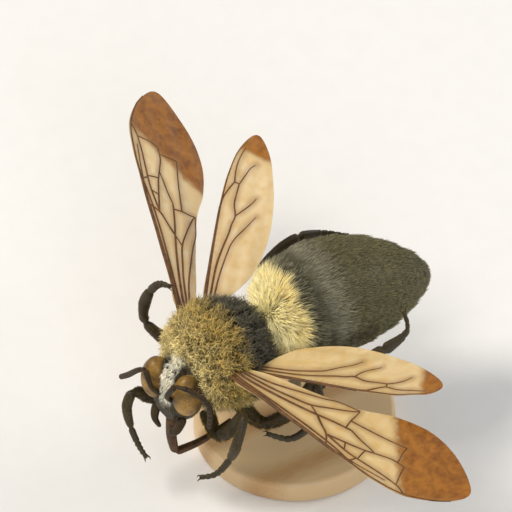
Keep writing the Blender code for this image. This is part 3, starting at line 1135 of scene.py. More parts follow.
@dataclass(frozen=True)
class Thorax:
    """The mid body: a barrel with a raised scutellum behind a groove, under the longest pile.

    The shares say how far it draws in at the belly and at the collar, how far its front and back sink, and
    how high the scutellum and how deep the groove are.
    """

    half: Triple = (3.25, 3.4, 3.1)
    centre: Triple = (0.3, 0.0, -1.9)
    belly: float = 0.22
    collar: float = 0.10
    ends: float = 0.08
    scutellum: float = 0.084
    groove: float = 0.03
    rings: int = 56
    sides: int = 72

    def form(self, forward: np.ndarray, left: np.ndarray, up: np.ndarray) -> tuple:
        """Reshape the unit sphere.

        Args:
            forward: Share of the half length.
            left: Share of the half width.
            up: Share of the half height.

        Returns:
            The same three, reshaped.
        """
        below, ahead = np.clip(-up, 0, None), np.clip(forward, 0, None)
        width = 1 - self.belly * below**1.5 - self.collar * ahead**3
        hump = bump(-0.62, 0.22, forward) * np.clip(up, 0, None) * np.clip(1 - left * left * 2.2, 0, 1)
        dip = bump(-0.38, 0.05, forward) * np.clip(up, 0, None)
        height = 1 - self.ends * forward * forward + self.scutellum * hump - self.groove * dip
        return forward * (1 - self.collar * below), left * width, up * height

    def ring_form(self) -> RingForm:
        """The thorax's skin."""
        return RingForm(ball_rings(self.half, self.rings, self.sides, self.form) + np.array(self.centre))


@dataclass(frozen=True)
class Abdomen:
    """The hind body: six overlapping plates, pointed and turned down at the tail.

    It widens forwards, narrows and droops towards the tail, and has a flatter belly and a fold along each
    side. plated is where the plates start and end, in shares of the half turn from the front pole. step is
    how far a plate's hind edge stands over the next, in millimetres.
    """

    half: Triple = (6.66, 4.02, 3.68)
    centre: Triple = (-9.55, 0.0, -0.95)
    pitch: float = -10.0
    widening: float = 0.24
    tail: float = 0.20
    droop: float = 0.12
    belly: float = 0.90
    fold: float = 0.035
    plates: int = 6
    plated: tuple[float, float] = (0.30, 0.93)
    step: float = 0.11
    sides: int = 84

    def form(self, forward: np.ndarray, left: np.ndarray, up: np.ndarray) -> tuple:
        """Reshape the unit sphere.

        Args:
            forward: Share of the half length.
            left: Share of the half width.
            up: Share of the half height.

        Returns:
            The same three, reshaped.
        """
        behind = np.clip(-forward - 0.1, 0, None)
        width = 1 + self.widening * forward - self.tail * behind**2
        flat = np.where(up < 0, self.belly, 1.0)
        fold = 1 - self.fold * bump(-0.42, 0.07, up / np.maximum(np.hypot(left, up), 1e-6))
        return forward, left * width * fold, up * width * flat * fold - self.droop * behind**2

    def placed(self, offsets: np.ndarray) -> np.ndarray:
        """Turn offsets down by the pitch and set them round the centre.

        Args:
            offsets: Millimetres from the centre, as (..., 3).

        Returns:
            Places in the bee's axes, as (..., 3).
        """
        turn = math.radians(self.pitch)
        forward, left, up = (offsets[..., axis] for axis in range(3))
        ahead = forward * math.cos(turn) + up * math.sin(turn)
        height = up * math.cos(turn) - forward * math.sin(turn)
        return np.stack((ahead, left, height), -1) + np.array(self.centre)

    def ring_form(self) -> RingForm:
        """The abdomen's skin, each plate's hind edge standing over the next.

        Returns:
            Rings from the waist to the tail.
        """
        within = np.array((0.0, 0.04, 0.15, 0.3, 0.45, 0.6, 0.75, 0.87, 0.94, 0.98, 1.0))
        rise = self.step * (within**2) * np.sin(np.minimum((1 - within) / 0.02, 1) * math.pi / 2)
        edges = np.linspace(*self.plated, self.plates + 1)
        plates = [(a + (b - a) * within) * math.pi for a, b in zip(edges, edges[1:])]
        front = np.linspace(POLE_GAP, edges[0] * math.pi, 8)[:-1]
        tail = np.linspace(edges[-1] * math.pi, math.pi - POLE_GAP, 6)[1:]
        polar = np.concatenate((front, *plates, tail))[:, None]
        proud = np.concatenate((front * 0, np.tile(rise, self.plates), tail * 0))[:, None, None]
        turn = (np.arange(self.sides) / self.sides * TAU)[None]
        forward = np.cos(polar) * np.ones_like(turn)
        left, up = np.sin(polar) * np.cos(turn), np.sin(polar) * np.sin(turn)
        shape = np.stack([axis * size for axis, size in zip(self.form(forward, left, up), self.half)], -1)
        outward = unit(np.stack((np.zeros_like(left), left, up), -1))
        return RingForm(self.placed(shape + outward * proud))


@dataclass(frozen=True)
class Head:
    """The head: a shield with a raised face plate, turned to the bee's left."""

    half: Triple = (1.16, 2.2, 2.7)
    centre: Triple = HEAD_CENTRE
    yaw: float = HEAD_YAW
    eye_half: Triple = (1.12, 1.05, 1.80)
    eye_place: Triple = (0.35, 1.36, 0.8)
    rings: int = 90
    sides: int = 90

    def placed(self, offsets: np.ndarray) -> np.ndarray:
        """Turn the head's own axes by its yaw and set them at its centre.

        Args:
            offsets: Millimetres from the centre in the head's axes, as (..., 3).

        Returns:
            Places in the bee's axes, as (..., 3).
        """
        turn = math.radians(self.yaw)
        forward, left, up = (offsets[..., axis] for axis in range(3))
        ahead = forward * math.cos(turn) - left * math.sin(turn)
        aside = forward * math.sin(turn) + left * math.cos(turn)
        return np.stack((ahead, aside, up), -1) + np.array(self.centre)

    def own(self, places: np.ndarray) -> np.ndarray:
        """Put the bee's places (n, 3) into the head's own axes.

        Args:
            places: Places in the bee's axes.

        Returns:
            Millimetres from the centre in the head's axes.
        """
        turn = math.radians(self.yaw)
        ahead, aside, up = (places - np.array(self.centre)).T
        forward = ahead * math.cos(turn) + aside * math.sin(turn)
        left = aside * math.cos(turn) - ahead * math.sin(turn)
        return np.stack((forward, left, up), 1)

    def turned(self, direction: Triple) -> Triple:
        """A direction of the head's axes in the bee's."""
        return tuple(self.placed(np.array(direction, float)) - np.array(self.centre))

    def form(self, forward: np.ndarray, left: np.ndarray, up: np.ndarray) -> tuple:
        """Reshape the unit sphere into a face.

        Args:
            forward: Share of the half length.
            left: Share of the half width.
            up: Share of the half height.

        Returns:
            The same three, reshaped.
        """
        below = np.clip(-up, 0, None)
        face = ramp(0.1, 0.6, forward)
        # a narrow chin and a flatter back, then the parts of the face in shares of the half sizes
        width = 1 - 0.24 * below**1.3
        depth = np.where(forward < 0, 0.82, 1.0) * (1 - 0.12 * below)
        clypeus = ramp(0.46, 0.34, np.hypot(left, (up + 0.46) / 0.85)) * face
        brow = bump(0.0, 0.14, left) * bump(-0.08, 0.14, up) * face
        sockets = bump(0.185, 0.075, np.abs(left)) * bump(0.02, 0.085, up) * face
        frons = bump(0.0, 0.03, left) * bump(0.42, 0.2, up) * face
        labrum = bump(0.0, 0.2, left) * bump(-0.86, 0.08, up)
        rise = 0.16 * clypeus + 0.07 * brow - 0.12 * sockets - 0.05 * frons + 0.1 * labrum
        return forward * depth + rise, left * width, up

    def ring_form(self) -> RingForm:
        """The head's skin, with its poles under the eyes."""
        return RingForm(self.placed(ball_rings(self.half, self.rings, self.sides, self.form, pole=1)))


@dataclass(frozen=True)
class LegPair:
    """One pair's cross sections: half widths at the eight joints, flatness, and the skin's share of them."""

    widths: tuple[float, ...]
    flatness: float
    skin: tuple[float, ...]


@dataclass(frozen=True)
class Leg:
    """One leg, from hip to claws, as a run of segments with waists at the joints."""

    name: str
    joints: tuple[Triple, ...]
    pair: LegPair
    sides: int = 18
    spacing: float = 0.07
    thinnest: float = 0.12
    tarsomeres: int = 4
    first_tarsomere: float = 0.46
    bristles: int = 4200

    def stations(self) -> np.ndarray:
        """Places with half width and half thickness at each joint.

        Returns:
            One row for each joint.
        """
        wide = np.array(self.pair.widths) * np.array(self.pair.skin)
        thick = wide * self.pair.flatness
        return np.column_stack((np.array(self.joints), wide, np.maximum(thick, self.thinnest)))

    def line(self) -> tuple[np.ndarray, np.ndarray]:
        """The soft middle line with its widths, and the way travelled at each of the eight joints.

        Returns:
            Rows at even spacing along the leg, and the joints' ways in millimetres.
        """
        steps = 16
        curve = smooth_curve(self.stations(), steps)
        travelled = lengths_along(curve[:, :3])
        return read_at(np.arange(0, travelled[-1], self.spacing), curve), travelled[::steps]

    def waists(self, marks: np.ndarray, joints: np.ndarray) -> np.ndarray:
        """How far the leg is drawn in along its length.

        Args:
            marks: The way travelled at each ring.
            joints: The way travelled at each joint.

        Returns:
            Each ring's share of the full width.
        """
        share = np.ones_like(marks)
        hip, knee, ankle, tip = joints[[1, 3, 5, 7]]
        for place, depth, reach in ((hip, 0.25, 0.18), (knee, 0.40, 0.20), (ankle, 0.35, 0.16)):
            share -= depth * bump(place, reach, marks)
        share -= 0.22 * bump(hip + 0.55, 0.12, marks)
        first = ankle + (tip - ankle) * self.first_tarsomere
        gap = (tip - first) / self.tarsomeres
        for k in range(self.tarsomeres):
            place = first + gap * k
            share -= 0.22 * bump(place, 0.06, marks) - 0.06 * bump(place - 0.16, 0.1, marks)
        return share

    def ring_form(self) -> RingForm:
        """The leg's skin.

        Returns:
            Rings from the hip to the foot's round end.
        """
        rows, joints = self.line()
        marks = np.arange(len(rows)) * self.spacing
        share = self.waists(marks, joints)
        left = np.clip((marks[-1] + 0.03 - marks) / 0.2, 0, 1)
        share = share * np.sqrt(1 - (1 - left) ** 2)
        return RingForm(tube_rings(rows[:, :3], rows[:, 3] * share, rows[:, 4] * share, self.sides, UPRIGHT))

    def claws(self) -> Surface:
        """Two curved claws at the tip of the foot.

        Returns:
            Both claws in one.
        """
        rows, _ = self.line()
        tip, ahead = rows[-1, :3], unit(rows[-1, :3] - rows[-6, :3])
        across = unit(np.cross(ahead, UPRIGHT))
        down = np.cross(across, ahead)
        hooks = []
        for sign in (-1, 1):
            stations = [
                (*(tip + ahead * (a - 0.1) + across * b * sign + down * c), r, r) for a, b, c, r in CLAW_SHAPE
            ]
            hooks.append(RingForm(limb_rings(np.array(stations), 8, UPRIGHT, 0.04)).surface())
        return joined(hooks)

    def coat(self, test: "SkinTest", rng: np.random.Generator) -> Surface:
        """Bristles: longest on thigh and shin, close on the foot.

        Args:
            test: Tells the roots that lie on the open skin.
            rng: The source of chance.

        Returns:
            The leg's locks.
        """
        rows, joints = self.line()
        ankle = joints[5] / (len(rows) * self.spacing)
        roots = test.open_roots(self.ring_form().scatter(self.bristles, rng, evenly))
        place = roots.unwrap[:, 1]
        scale = np.interp(place, (0, 0.15, 0.3, 0.5, ankle, 1), (1.2, 1.3, 1.0, 0.55, 0.5, 0.45))
        lift = np.where(place < ankle, 0.28, 0.22)
        lock = Lock(0.34, 0.013, bend=0.5, loose=0.14, clump=0.05, rings=2)
        return lock.grown(roots, roots.along, rng, scale, lift)


CLAW_SHAPE = (
    (-0.10, 0.04, 0.0, 0.065),
    (0.06, 0.14, 0.03, 0.06),
    (0.20, 0.20, 0.0, 0.045),
    (0.30, 0.21, -0.10, 0.022),
    (0.32, 0.20, -0.18, 0.008),
)
SLIM_SKIN = (0.86, 0.86, 0.82, 0.88, 0.82, 0.80, 0.76, 0.72)
HIND_SKIN = (0.86, 0.86, 0.82, 0.88, 0.84, 0.86, 0.76, 0.72)
LEG_PAIRS = {
    "fore": LegPair((0.75, 0.55, 0.62, 0.42, 0.50, 0.36, 0.30, 0.25), 0.85, SLIM_SKIN),
    "middle": LegPair((0.80, 0.58, 0.62, 0.45, 0.55, 0.42, 0.34, 0.25), 0.80, SLIM_SKIN),
    "hind": LegPair((0.85, 0.60, 0.66, 0.50, 0.72, 0.70, 0.40, 0.25), 0.55, HIND_SKIN),
}
LEG_JOINTS = {
    "fore_right": (
        (2.2, -1.2, -5.6), (3.1, -2.0, -6.5), (4.65, -2.3, -6.1), (5.95, -2.3, -4.9),
        (6.55, -2.25, -6.1), (6.55, -1.7, -7.7), (6.45, -0.75, -8.8), (6.35, 0.1, -9.2),
    ),
    "fore_left": (
        (2.2, 1.2, -5.6), (2.4, 2.9, -6.2), (1.9, 4.2, -4.6), (1.4, 5.0, -2.7),
        (2.5, 5.9, -4.2), (2.9, 5.6, -5.9), (3.8, 5.3, -7.2), (4.8, 4.8, -7.5),
    ),
    "middle_right": (
        (0.0, -1.5, -5.8), (0.6, -3.4, -6.2), (1.6, -5.0, -5.0), (2.6, -6.5, -3.7),
        (2.5, -6.85, -2.2), (2.2, -6.55, -0.7), (1.85, -5.85, 0.5), (1.5, -4.95, 0.9),
    ),
    "middle_left": (
        (-0.2, 1.5, -5.8), (-1.0, 3.4, -6.5), (-2.5, 4.8, -4.7), (-4.0, 5.2, -2.3),
        (-4.0, 6.0, -4.3), (-3.5, 5.6, -6.1), (-2.1, 5.3, -6.9), (-0.6, 4.6, -6.2),
    ),
    "hind_right": (
        (-2.2, -1.5, -5.6), (-3.3, -3.0, -6.1), (-4.9, -4.2, -4.1), (-5.4, -5.0, -1.9),
        (-7.4, -5.9, -1.6), (-9.4, -6.2, -1.5), (-11.3, -6.1, -1.9), (-13.0, -5.6, -2.6),
    ),
    "hind_left": (
        (-2.2, 1.5, -5.6), (-3.3, 2.9, -6.1), (-4.9, 4.1, -4.0), (-5.4, 4.8, -1.9),
        (-7.4, 5.5, -1.8), (-9.4, 5.5, -1.6), (-11.3, 5.35, -0.9), (-11.4, 4.75, 0.6),
    ),
}
LEG_PARTS = ("femur", "tibia", "tarsus")


class SkinTest:
    """Tells which roots lie on the finished skin and not inside it."""

    def __init__(self, skin: bpy.types.Object) -> None:
        """Read the skin's faces once.

        Args:
            skin: The finished skin.
        """
        mesh = skin.data
        corners = [tuple(polygon.vertices) for polygon in mesh.polygons]
        self.tree = BVHTree.FromPolygons([vertex.co.copy() for vertex in mesh.vertices], corners)

    def open_roots(self, roots: Roots, slack: float = 0.03) -> Roots:
        """Keep the roots within slack millimetres of the skin's surface.

        Args:
            roots: Roots scattered over one mass.
            slack: How far off the skin they may be.

        Returns:
            Those that no other mass has buried.
        """
        places = BEE.row(roots.places)
        near = [self.tree.find_nearest(Vector(place))[3] < slack * MM for place in places]
        return roots.kept(np.array(near))


@dataclass(frozen=True)
class CoatBand:
    """A stretch of the coat: where it ends, how many roots it has, and how far they thin towards the belly.

    back and front are millimetres forward of the wing roots. flank is the share of roots that stand on the
    belly, and the heights between which it rises to all. size is the locks' length against their kind's.
    """

    name: str
    back: float
    front: float
    count: int
    flank: Triple
    size: float = 1.0

    def weight(self, places: np.ndarray) -> np.ndarray:
        """How thickly the locks stand at places (n, 3).

        Args:
            places: Places on the form.

        Returns:
            A weight for each, 0 outside the band.
        """
        within = (places[:, 0] > self.back) & (places[:, 0] <= self.front)
        least, low, high = self.flank
        return within * (least + (1 - least) * ramp(low, high, places[:, 2]))


THORAX_FLANK = (0.45, -6.0, -3.0)
THORAX_BANDS = (
    CoatBand("collar", 1.9, 9.0, 6600, THORAX_FLANK),
    CoatBand("shoulders", 0.1, 1.9, 6400, THORAX_FLANK),
    CoatBand("saddle", -1.9, 0.1, 6200, THORAX_FLANK, size=0.88),
    CoatBand("scutellum", -9.0, -1.9, 5200, THORAX_FLANK, size=1.05),
)
ABDOMEN_FLANK = (0.5, -5.0, -2.0)
ABDOMEN_BANDS = (
    CoatBand("waist", -5.6, 0.0, 7000, ABDOMEN_FLANK),
    CoatBand("back", -10.2, -5.6, 12200, ABDOMEN_FLANK),
    CoatBand("tail", -30.0, -10.2, 11000, ABDOMEN_FLANK),
)


@dataclass(frozen=True)
class Body:
    """Head, thorax, abdomen and legs in one skin, with the coat on it.

    neck and waist are rows of a place and a half width. crease is the sharpest turn, in degrees, that is
    shaded smooth.
    """

    head: Head = Head()
    thorax: Thorax = Thorax()
    abdomen: Abdomen = Abdomen()
    neck: Stations = ((2.2, 0.0, -2.6, 1.5), (3.3, 0.2, -2.7, 1.25), (4.3, 0.5, -2.9, 1.1))
    waist: Stations = ((-1.4, 0.0, -2.2, 1.9), (-3.0, 0.0, -2.3, 1.35), (-4.6, 0.0, -2.0, 2.0))
    crease: float = 50.0

    def legs(self) -> list[Leg]:
        """All six legs."""
        return [Leg(name, joints, LEG_PAIRS[name.split("_")[0]]) for name, joints in LEG_JOINTS.items()]

    def skin(self) -> bpy.types.Object:
        """Join every mass into one skin.

        Returns:
            The skin's piece.
        """
        nodes = ["head", "thorax", "abdomen"]
        nodes += [f"leg_{name}_{part}" for name in LEG_JOINTS for part in LEG_PARTS]
        piece = add_piece("skin", self.thorax.ring_form().surface(), CUTICLE, tuple(nodes))
        forms = [self.abdomen.ring_form(), self.head.ring_form()]
        forms += [RingForm(limb_rings(rounded(run), 32, UPRIGHT, 0.15)) for run in (self.neck, self.waist)]
        forms += [leg.ring_form() for leg in self.legs()]
        for form in forms:
            self.merge(piece, form.surface())
        piece.data.shade_smooth()
        piece.data.set_sharp_from_angle(angle=math.radians(self.crease))
        log.info("skin: %d faces in one", len(piece.data.polygons))
        return piece

    def merge(self, piece: bpy.types.Object, surface: Surface) -> None:
        """Union one more closed surface into the skin.

        Args:
            piece: The skin so far.
            surface: The surface to add.
        """
        mesh = bpy.data.meshes.new("mass")
        faces = [corners for face in surface.faces for corners in face.tolist()]
        mesh.from_pydata(BEE.row(surface.points).tolist(), [], faces)
        mass = bpy.data.objects.new("mass", mesh)
        bpy.context.scene.collection.objects.link(mass)
        union = piece.modifiers.new("union", "BOOLEAN")
        union.operation, union.solver, union.object = "UNION", "MANIFOLD", mass
        graph = bpy.context.evaluated_depsgraph_get()
        whole = bpy.data.meshes.new_from_object(piece.evaluated_get(graph))
        piece.modifiers.clear()
        old = piece.data
        piece.data = whole
        bpy.data.meshes.remove(old)
        bpy.data.objects.remove(mass)
        bpy.data.meshes.remove(mesh)

    def coat_thorax(self, test: SkinTest) -> None:
        """Long curled pile, standing out round the collar and drawn back over the waist.

        Args:
            test: Tells which roots lie on the skin.
        """
        rng = np.random.default_rng(11)
        form = self.thorax.ring_form()
        for band in THORAX_BANDS:
            roots = test.open_roots(form.scatter(band.count, rng, band.weight))
            place = roots.places[:, 0]
            radial = unit(roots.places - np.array(self.thorax.centre))
            ahead = ramp(0.8, 3.0, place)[:, None]
            flow = np.array((-1.0, 0.0, 0.12)) * (1 - ahead) + (radial + np.array((0.35, 0.0, 0.2))) * ahead
            lift = np.interp(place, (-3.2, -2.0, 0.0, 2.0, 3.5), (0.45, 0.55, 0.7, 0.85, 0.9))
            scale = 0.72 + 0.28 * ramp(-5.5, -2.5, roots.places[:, 2])
            lock = Lock(
                1.32 * band.size, 0.046, bend=0.45, loose=0.26, clump=0.42, rings=5, curl=0.13, turns=1.6
            )
            coat = lock.grown(roots, flow, rng, scale, lift)
            add_piece(f"coat_{band.name}", coat, DEEP_PILE, crease=ALL_SMOOTH)

    def coat_abdomen(self, test: SkinTest) -> None:
        """Short pile lying back over the plates, longer at the waist and round the tail.

        Args:
            test: Tells which roots lie on the skin.
        """
        rng = np.random.default_rng(12)
        form = self.abdomen.ring_form()
        lock = Lock(0.62, 0.026, bend=0.6, loose=0.13, clump=0.12, rings=3)
        for band in ABDOMEN_BANDS:
            roots = test.open_roots(form.scatter(band.count, rng, band.weight))
            place = roots.places[:, 0]
            scale = np.interp(
                place, (-16.2, -15.5, -14, -12, -6, -5, -4), (0.4, 0.7, 0.95, 0.85, 0.85, 1.4, 1.9)
            )
            lift = np.interp(place, (-16, -14, -6, -4), (0.4, 0.22, 0.2, 0.5))
            coat = lock.grown(roots, roots.along, rng, scale, lift)
            finish = WAIST_PILE if band.name == "waist" else PILE
            add_piece(f"coat_{band.name}", coat, finish, crease=ALL_SMOOTH)

    def coat_legs(self, test: SkinTest) -> None:
        """Bristles and claws on each leg.

        Args:
            test: Tells which roots lie on the skin.
        """
        for number, leg in enumerate(self.legs()):
            rng = np.random.default_rng(30 + number)
            add_piece(f"coat_leg_{leg.name}", leg.coat(test, rng), LEG_PILE, crease=ALL_SMOOTH)
            add_piece(f"claws_{leg.name}", leg.claws(), CLAW)


# ---------------------------------------------------------------------------------------------------
# Wings


@dataclass(frozen=True)
class Vein:
    """One vein: its half widths at its start and end, in millimetres, and its route.

    The route's points are ways along and behind the root's line, in shares of the wing's length.
    """

    thick: float
    thin: float
    route: Route


@dataclass(frozen=True)
class Wing:
    """A wing: two edges, a fluted film between them, and the tubes that stiffen it.

    angles are its sweep, rise and twist in degrees.
    """

    name: str
    side: Side
    length: float
    root: Triple
    angles: Triple
    edge: Route
    veins: tuple[Vein, ...]
    film: WingFilm
    thickness: float = 0.035
    columns: int = 150
    rows: int = 40

    def axes(self) -> tuple[np.ndarray, np.ndarray, np.ndarray]:
        """The directions along, behind and out of the wing, swept, raised and twisted.

        Returns:
            Three unit vectors in the bee's axes.
        """
        turn, lift, twist = np.radians(self.angles)
        side = self.side.value
        along = unit(np.array((-math.sin(turn), side * math.cos(turn), math.tan(lift))))
        behind = np.array((-math.cos(turn), -side * math.sin(turn), 0.0))
        upward = np.cross(along, behind) * side
        turned = behind * math.cos(twist) + upward * math.sin(twist)
        return along, turned, unit(np.cross(along, turned)) * side

    def camber(self, share: np.ndarray, depth: np.ndarray) -> np.ndarray:
        """How far the film bows up from the flat, in millimetres.

        Args:
            share: Way along the wing, in lengths.
            depth: Way behind the root's line, in lengths.

        Returns:
            The film's height at each place.
        """
        arch = 0.10 * np.sin(np.clip(share, 0, 1) * math.pi) - 0.05
        flute = 0.045 * np.cos(depth * TAU * 11) * ramp(0.0, 0.2, share) * ramp(1.0, 0.75, share)
        fold = 0.04 * np.sin(share * TAU * 5 + depth * 14) * ramp(0.55, 0.9, share)
        return arch + flute + fold

    def placed(self, share: np.ndarray, depth: np.ndarray, proud: np.ndarray | float = 0.0) -> np.ndarray:
        """Put points of the wing's chart into the bee's axes.

        Args:
            share: Way along the wing, in lengths.
            depth: Way behind the root's line, in lengths.
            proud: Height over the film, in millimetres.

        Returns:
            Places as (..., 3).
        """
        along, behind, normal = self.axes()
        flat = np.array(self.root) + (share[..., None] * along + depth[..., None] * behind) * self.length
        return flat + normal * (self.camber(share, depth) + proud)[..., None]

    def edges(self, shares: np.ndarray) -> tuple[np.ndarray, np.ndarray]:
        """The leading and trailing edge at each way along.

        Args:
            shares: Ways along the wing, from 0 at its root to 1 at its tip.

        Returns:
            Rows of way along and way behind for the leading edge, and for the trailing edge.
        """
        outline = smooth_curve(np.array(self.edge), 24, closed=True)
        turned = np.roll(outline, -int(np.argmin(outline[:, 0])), 0)
        peak = int(np.argmax(turned[:, 0]))
        ahead, behind = turned[: peak + 1], np.concatenate((turned[peak:], turned[:1]))[::-1]
        if np.interp(0.5, ahead[:, 0], ahead[:, 1]) > np.interp(0.5, behind[:, 0], behind[:, 1]):
            ahead, behind = behind, ahead
        span = turned[0, 0] + (turned[peak, 0] - turned[0, 0]) * shares
        return (
            np.stack((span, np.interp(span, ahead[:, 0], ahead[:, 1])), 1),
            np.stack((span, np.interp(span, behind[:, 0], behind[:, 1])), 1),
        )

    def vein_lines(self) -> list[np.ndarray]:
        """Each vein's smooth route with its half width.

        Returns:
            For each vein, rows of way along, way behind and half width.
        """
        lines = []
        for vein in self.veins:
            route = smooth_curve(np.array(vein.route), 8)
            share = lengths_along(route) / max(lengths_along(route)[-1], 1e-6)
            lines.append(np.column_stack((route, vein.thick + (vein.thin - vein.thick) * share)))
        return lines

    def film_surface(self) -> Surface:
        """A closed thin sheet between the edges, marked with its chart and the way to the nearest vein.

        Returns:
            The sheet, with its marks.
        """
        shares = 0.5 - 0.5 * np.cos(np.linspace(0.0, 1.0, self.columns) * math.pi)
        shares = 0.5 * shares + 0.5 * np.linspace(0, 1, self.columns)
        lead, trail = self.edges(shares)
        depth = np.linspace(0, 1, self.rows)[None]
        share = lead[:, :1] + 0 * depth
        back = lead[:, 1:] * (1 - depth) + trail[:, 1:] * depth
        top, under = (self.placed(share, back, sign * self.thickness / 2) for sign in (1, -1))
        marked = RingForm(np.concatenate((top, under[:, ::-1]), 1)).surface()
        face = np.stack((share, back), -1)
        chart = np.concatenate((face, face[:, ::-1]), 1)
        flat = np.concatenate((chart.reshape(-1, 2), chart[0].mean(0)[None], chart[-1].mean(0)[None]))
        lines = np.concatenate([line[:, :2] for line in self.vein_lines()])
        gaps = [np.sqrt(((place - lines) ** 2).sum(-1)).min() for place in flat]
        marked.marks["chord"] = np.column_stack((flat, np.array(gaps) * self.length))
        return marked

    def vein_surface(self) -> Surface:
        """All the wing's veins as slightly flattened tubes.

        Returns:
            The tubes in one.
        """
        _, _, normal = self.axes()
        tubes = []
        for line in self.vein_lines():
            path = self.placed(line[:, 0], line[:, 1])
            stations = np.column_stack((path, line[:, 2] * 0.8, line[:, 2]))
            tubes.append(RingForm(limb_rings(stations, 8, tuple(normal), 0.16)).surface())
        return joined(tubes)

    def build(self) -> None:
        """Make the film and its veins."""
        add_piece(f"{self.name}_film", self.film_surface(), self.film, (self.name,), crease=50)
        add_piece(f"{self.name}_veins", self.vein_surface(), VEIN)


FOREWING_LENGTH = 19.46
HINDWING_LENGTH = 13.32
FOREWING_EDGE = (
    (0.00, 0.000), (0.12, -0.012), (0.35, -0.038), (0.55, -0.066), (0.70, -0.082), (0.82, -0.072),
    (0.93, -0.018), (1.00, 0.060), (0.955, 0.122), (0.84, 0.188), (0.70, 0.222), (0.57, 0.203),
    (0.45, 0.158), (0.25, 0.122), (0.03, 0.082),
)
HINDWING_EDGE = (
    (0.00, 0.000), (0.25, -0.020), (0.50, -0.035), (0.74, -0.035), (0.92, 0.000), (1.00, 0.070),
    (0.91, 0.150), (0.76, 0.205), (0.58, 0.245), (0.38, 0.255), (0.18, 0.215), (0.03, 0.110),
)
FORE_VEINS = (
    # the leading edge and the strut behind it
    Vein(0.17, 0.11, ((-0.05, 0.020), (0.0, 0.008), (0.12, -0.004), (0.24, -0.020), (0.35, -0.033),
                      (0.47, -0.050), (0.58, -0.063))),
    Vein(0.09, 0.04, ((0.56, -0.061), (0.68, -0.075), (0.80, -0.069), (0.90, -0.035), (0.965, 0.010))),
    Vein(0.10, 0.07, ((-0.05, 0.030), (0.02, 0.020), (0.12, 0.008), (0.24, -0.006), (0.35, -0.018),
                      (0.47, -0.036), (0.55, -0.055))),
    Vein(0.06, 0.045, ((0.53, -0.053), (0.62, -0.056), (0.72, -0.055))),
    # the cell along the leading edge, from the stigma towards the tip
    Vein(0.075, 0.055, ((0.425, -0.008), (0.47, -0.018), (0.54, -0.030), (0.62, -0.035), (0.70, -0.040),
                        (0.77, -0.048), (0.81, -0.066))),
    Vein(0.07, 0.06, ((0.56, -0.058), (0.575, -0.032))),
    # the middle strut and the cross vein at its end
    Vein(0.12, 0.09, ((-0.05, 0.045), (0.02, 0.035), (0.12, 0.034), (0.25, 0.040), (0.335, 0.048))),
    Vein(0.085, 0.07, ((0.335, 0.048), (0.375, 0.020), (0.42, -0.008), (0.445, -0.042))),
    # the three cells behind that of the leading edge
    Vein(0.075, 0.055, ((0.425, -0.008), (0.50, 0.0), (0.57, 0.010), (0.63, 0.026), (0.68, 0.038),
                        (0.735, 0.036))),
    Vein(0.06, 0.055, ((0.50, 0.0), (0.515, -0.026))),
    Vein(0.06, 0.055, ((0.58, 0.012), (0.58, -0.033))),
    Vein(0.06, 0.05, ((0.735, 0.036), (0.762, -0.046))),
    # the cells behind those three
    Vein(0.085, 0.07, ((0.335, 0.048), (0.41, 0.056), (0.48, 0.060))),
    Vein(0.065, 0.055, ((0.48, 0.060), (0.53, 0.045), (0.59, 0.030), (0.615, 0.021))),
    Vein(0.07, 0.05, ((0.455, 0.060), (0.452, 0.092), (0.448, 0.148))),
    Vein(0.065, 0.05, ((0.453, 0.092), (0.52, 0.094), (0.60, 0.098), (0.67, 0.106), (0.69, 0.110))),
    Vein(0.06, 0.05, ((0.69, 0.110), (0.692, 0.085), (0.703, 0.040))),
    # the two rear struts and the link to the middle one
    Vein(0.10, 0.055, ((-0.05, 0.055), (0.02, 0.050), (0.12, 0.052), (0.21, 0.060), (0.29, 0.070),
                       (0.36, 0.098), (0.42, 0.130), (0.448, 0.148))),
    Vein(0.06, 0.055, ((0.29, 0.070), (0.335, 0.048))),
    Vein(0.08, 0.05, ((0.0, 0.060), (0.03, 0.062), (0.12, 0.072), (0.21, 0.092), (0.30, 0.118),
                      (0.36, 0.140), (0.448, 0.150))),
)
HIND_VEINS = (
    # the leading edge
    Vein(0.14, 0.09, ((-0.06, 0.012), (0.0, 0.005), (0.25, -0.014), (0.50, -0.029), (0.56, -0.031))),
    Vein(0.07, 0.03, ((0.56, -0.031), (0.74, -0.029), (0.88, -0.008), (0.96, 0.03))),
    # the fork behind it, towards the tip
    Vein(0.07, 0.06, ((0.56, -0.031), (0.616, -0.024), (0.706, 0.013))),
    Vein(0.055, 0.035, ((0.706, 0.013), (0.765, 0.005), (0.82, 0.006), (0.88, 0.016), (0.92, 0.028))),
    Vein(0.055, 0.05, ((0.706, 0.013), (0.699, 0.038))),
    Vein(0.055, 0.04, ((0.699, 0.038), (0.75, 0.057), (0.795, 0.076), (0.82, 0.10))),
    # the middle strut with its branch
    Vein(0.09, 0.055, ((-0.06, 0.036), (0.02, 0.030), (0.19, 0.022), (0.30, 0.030), (0.40, 0.045),
                       (0.46, 0.050), (0.51, 0.058), (0.578, 0.038), (0.638, 0.037), (0.699, 0.038))),
    Vein(0.055, 0.04, ((0.51, 0.058), (0.543, 0.089), (0.591, 0.124), (0.63, 0.145))),
    # the rear strut
    Vein(0.075, 0.04, ((-0.03, 0.052), (0.02, 0.050), (0.15, 0.050), (0.28, 0.062), (0.36, 0.078),
                       (0.45, 0.125), (0.52, 0.165))),
)


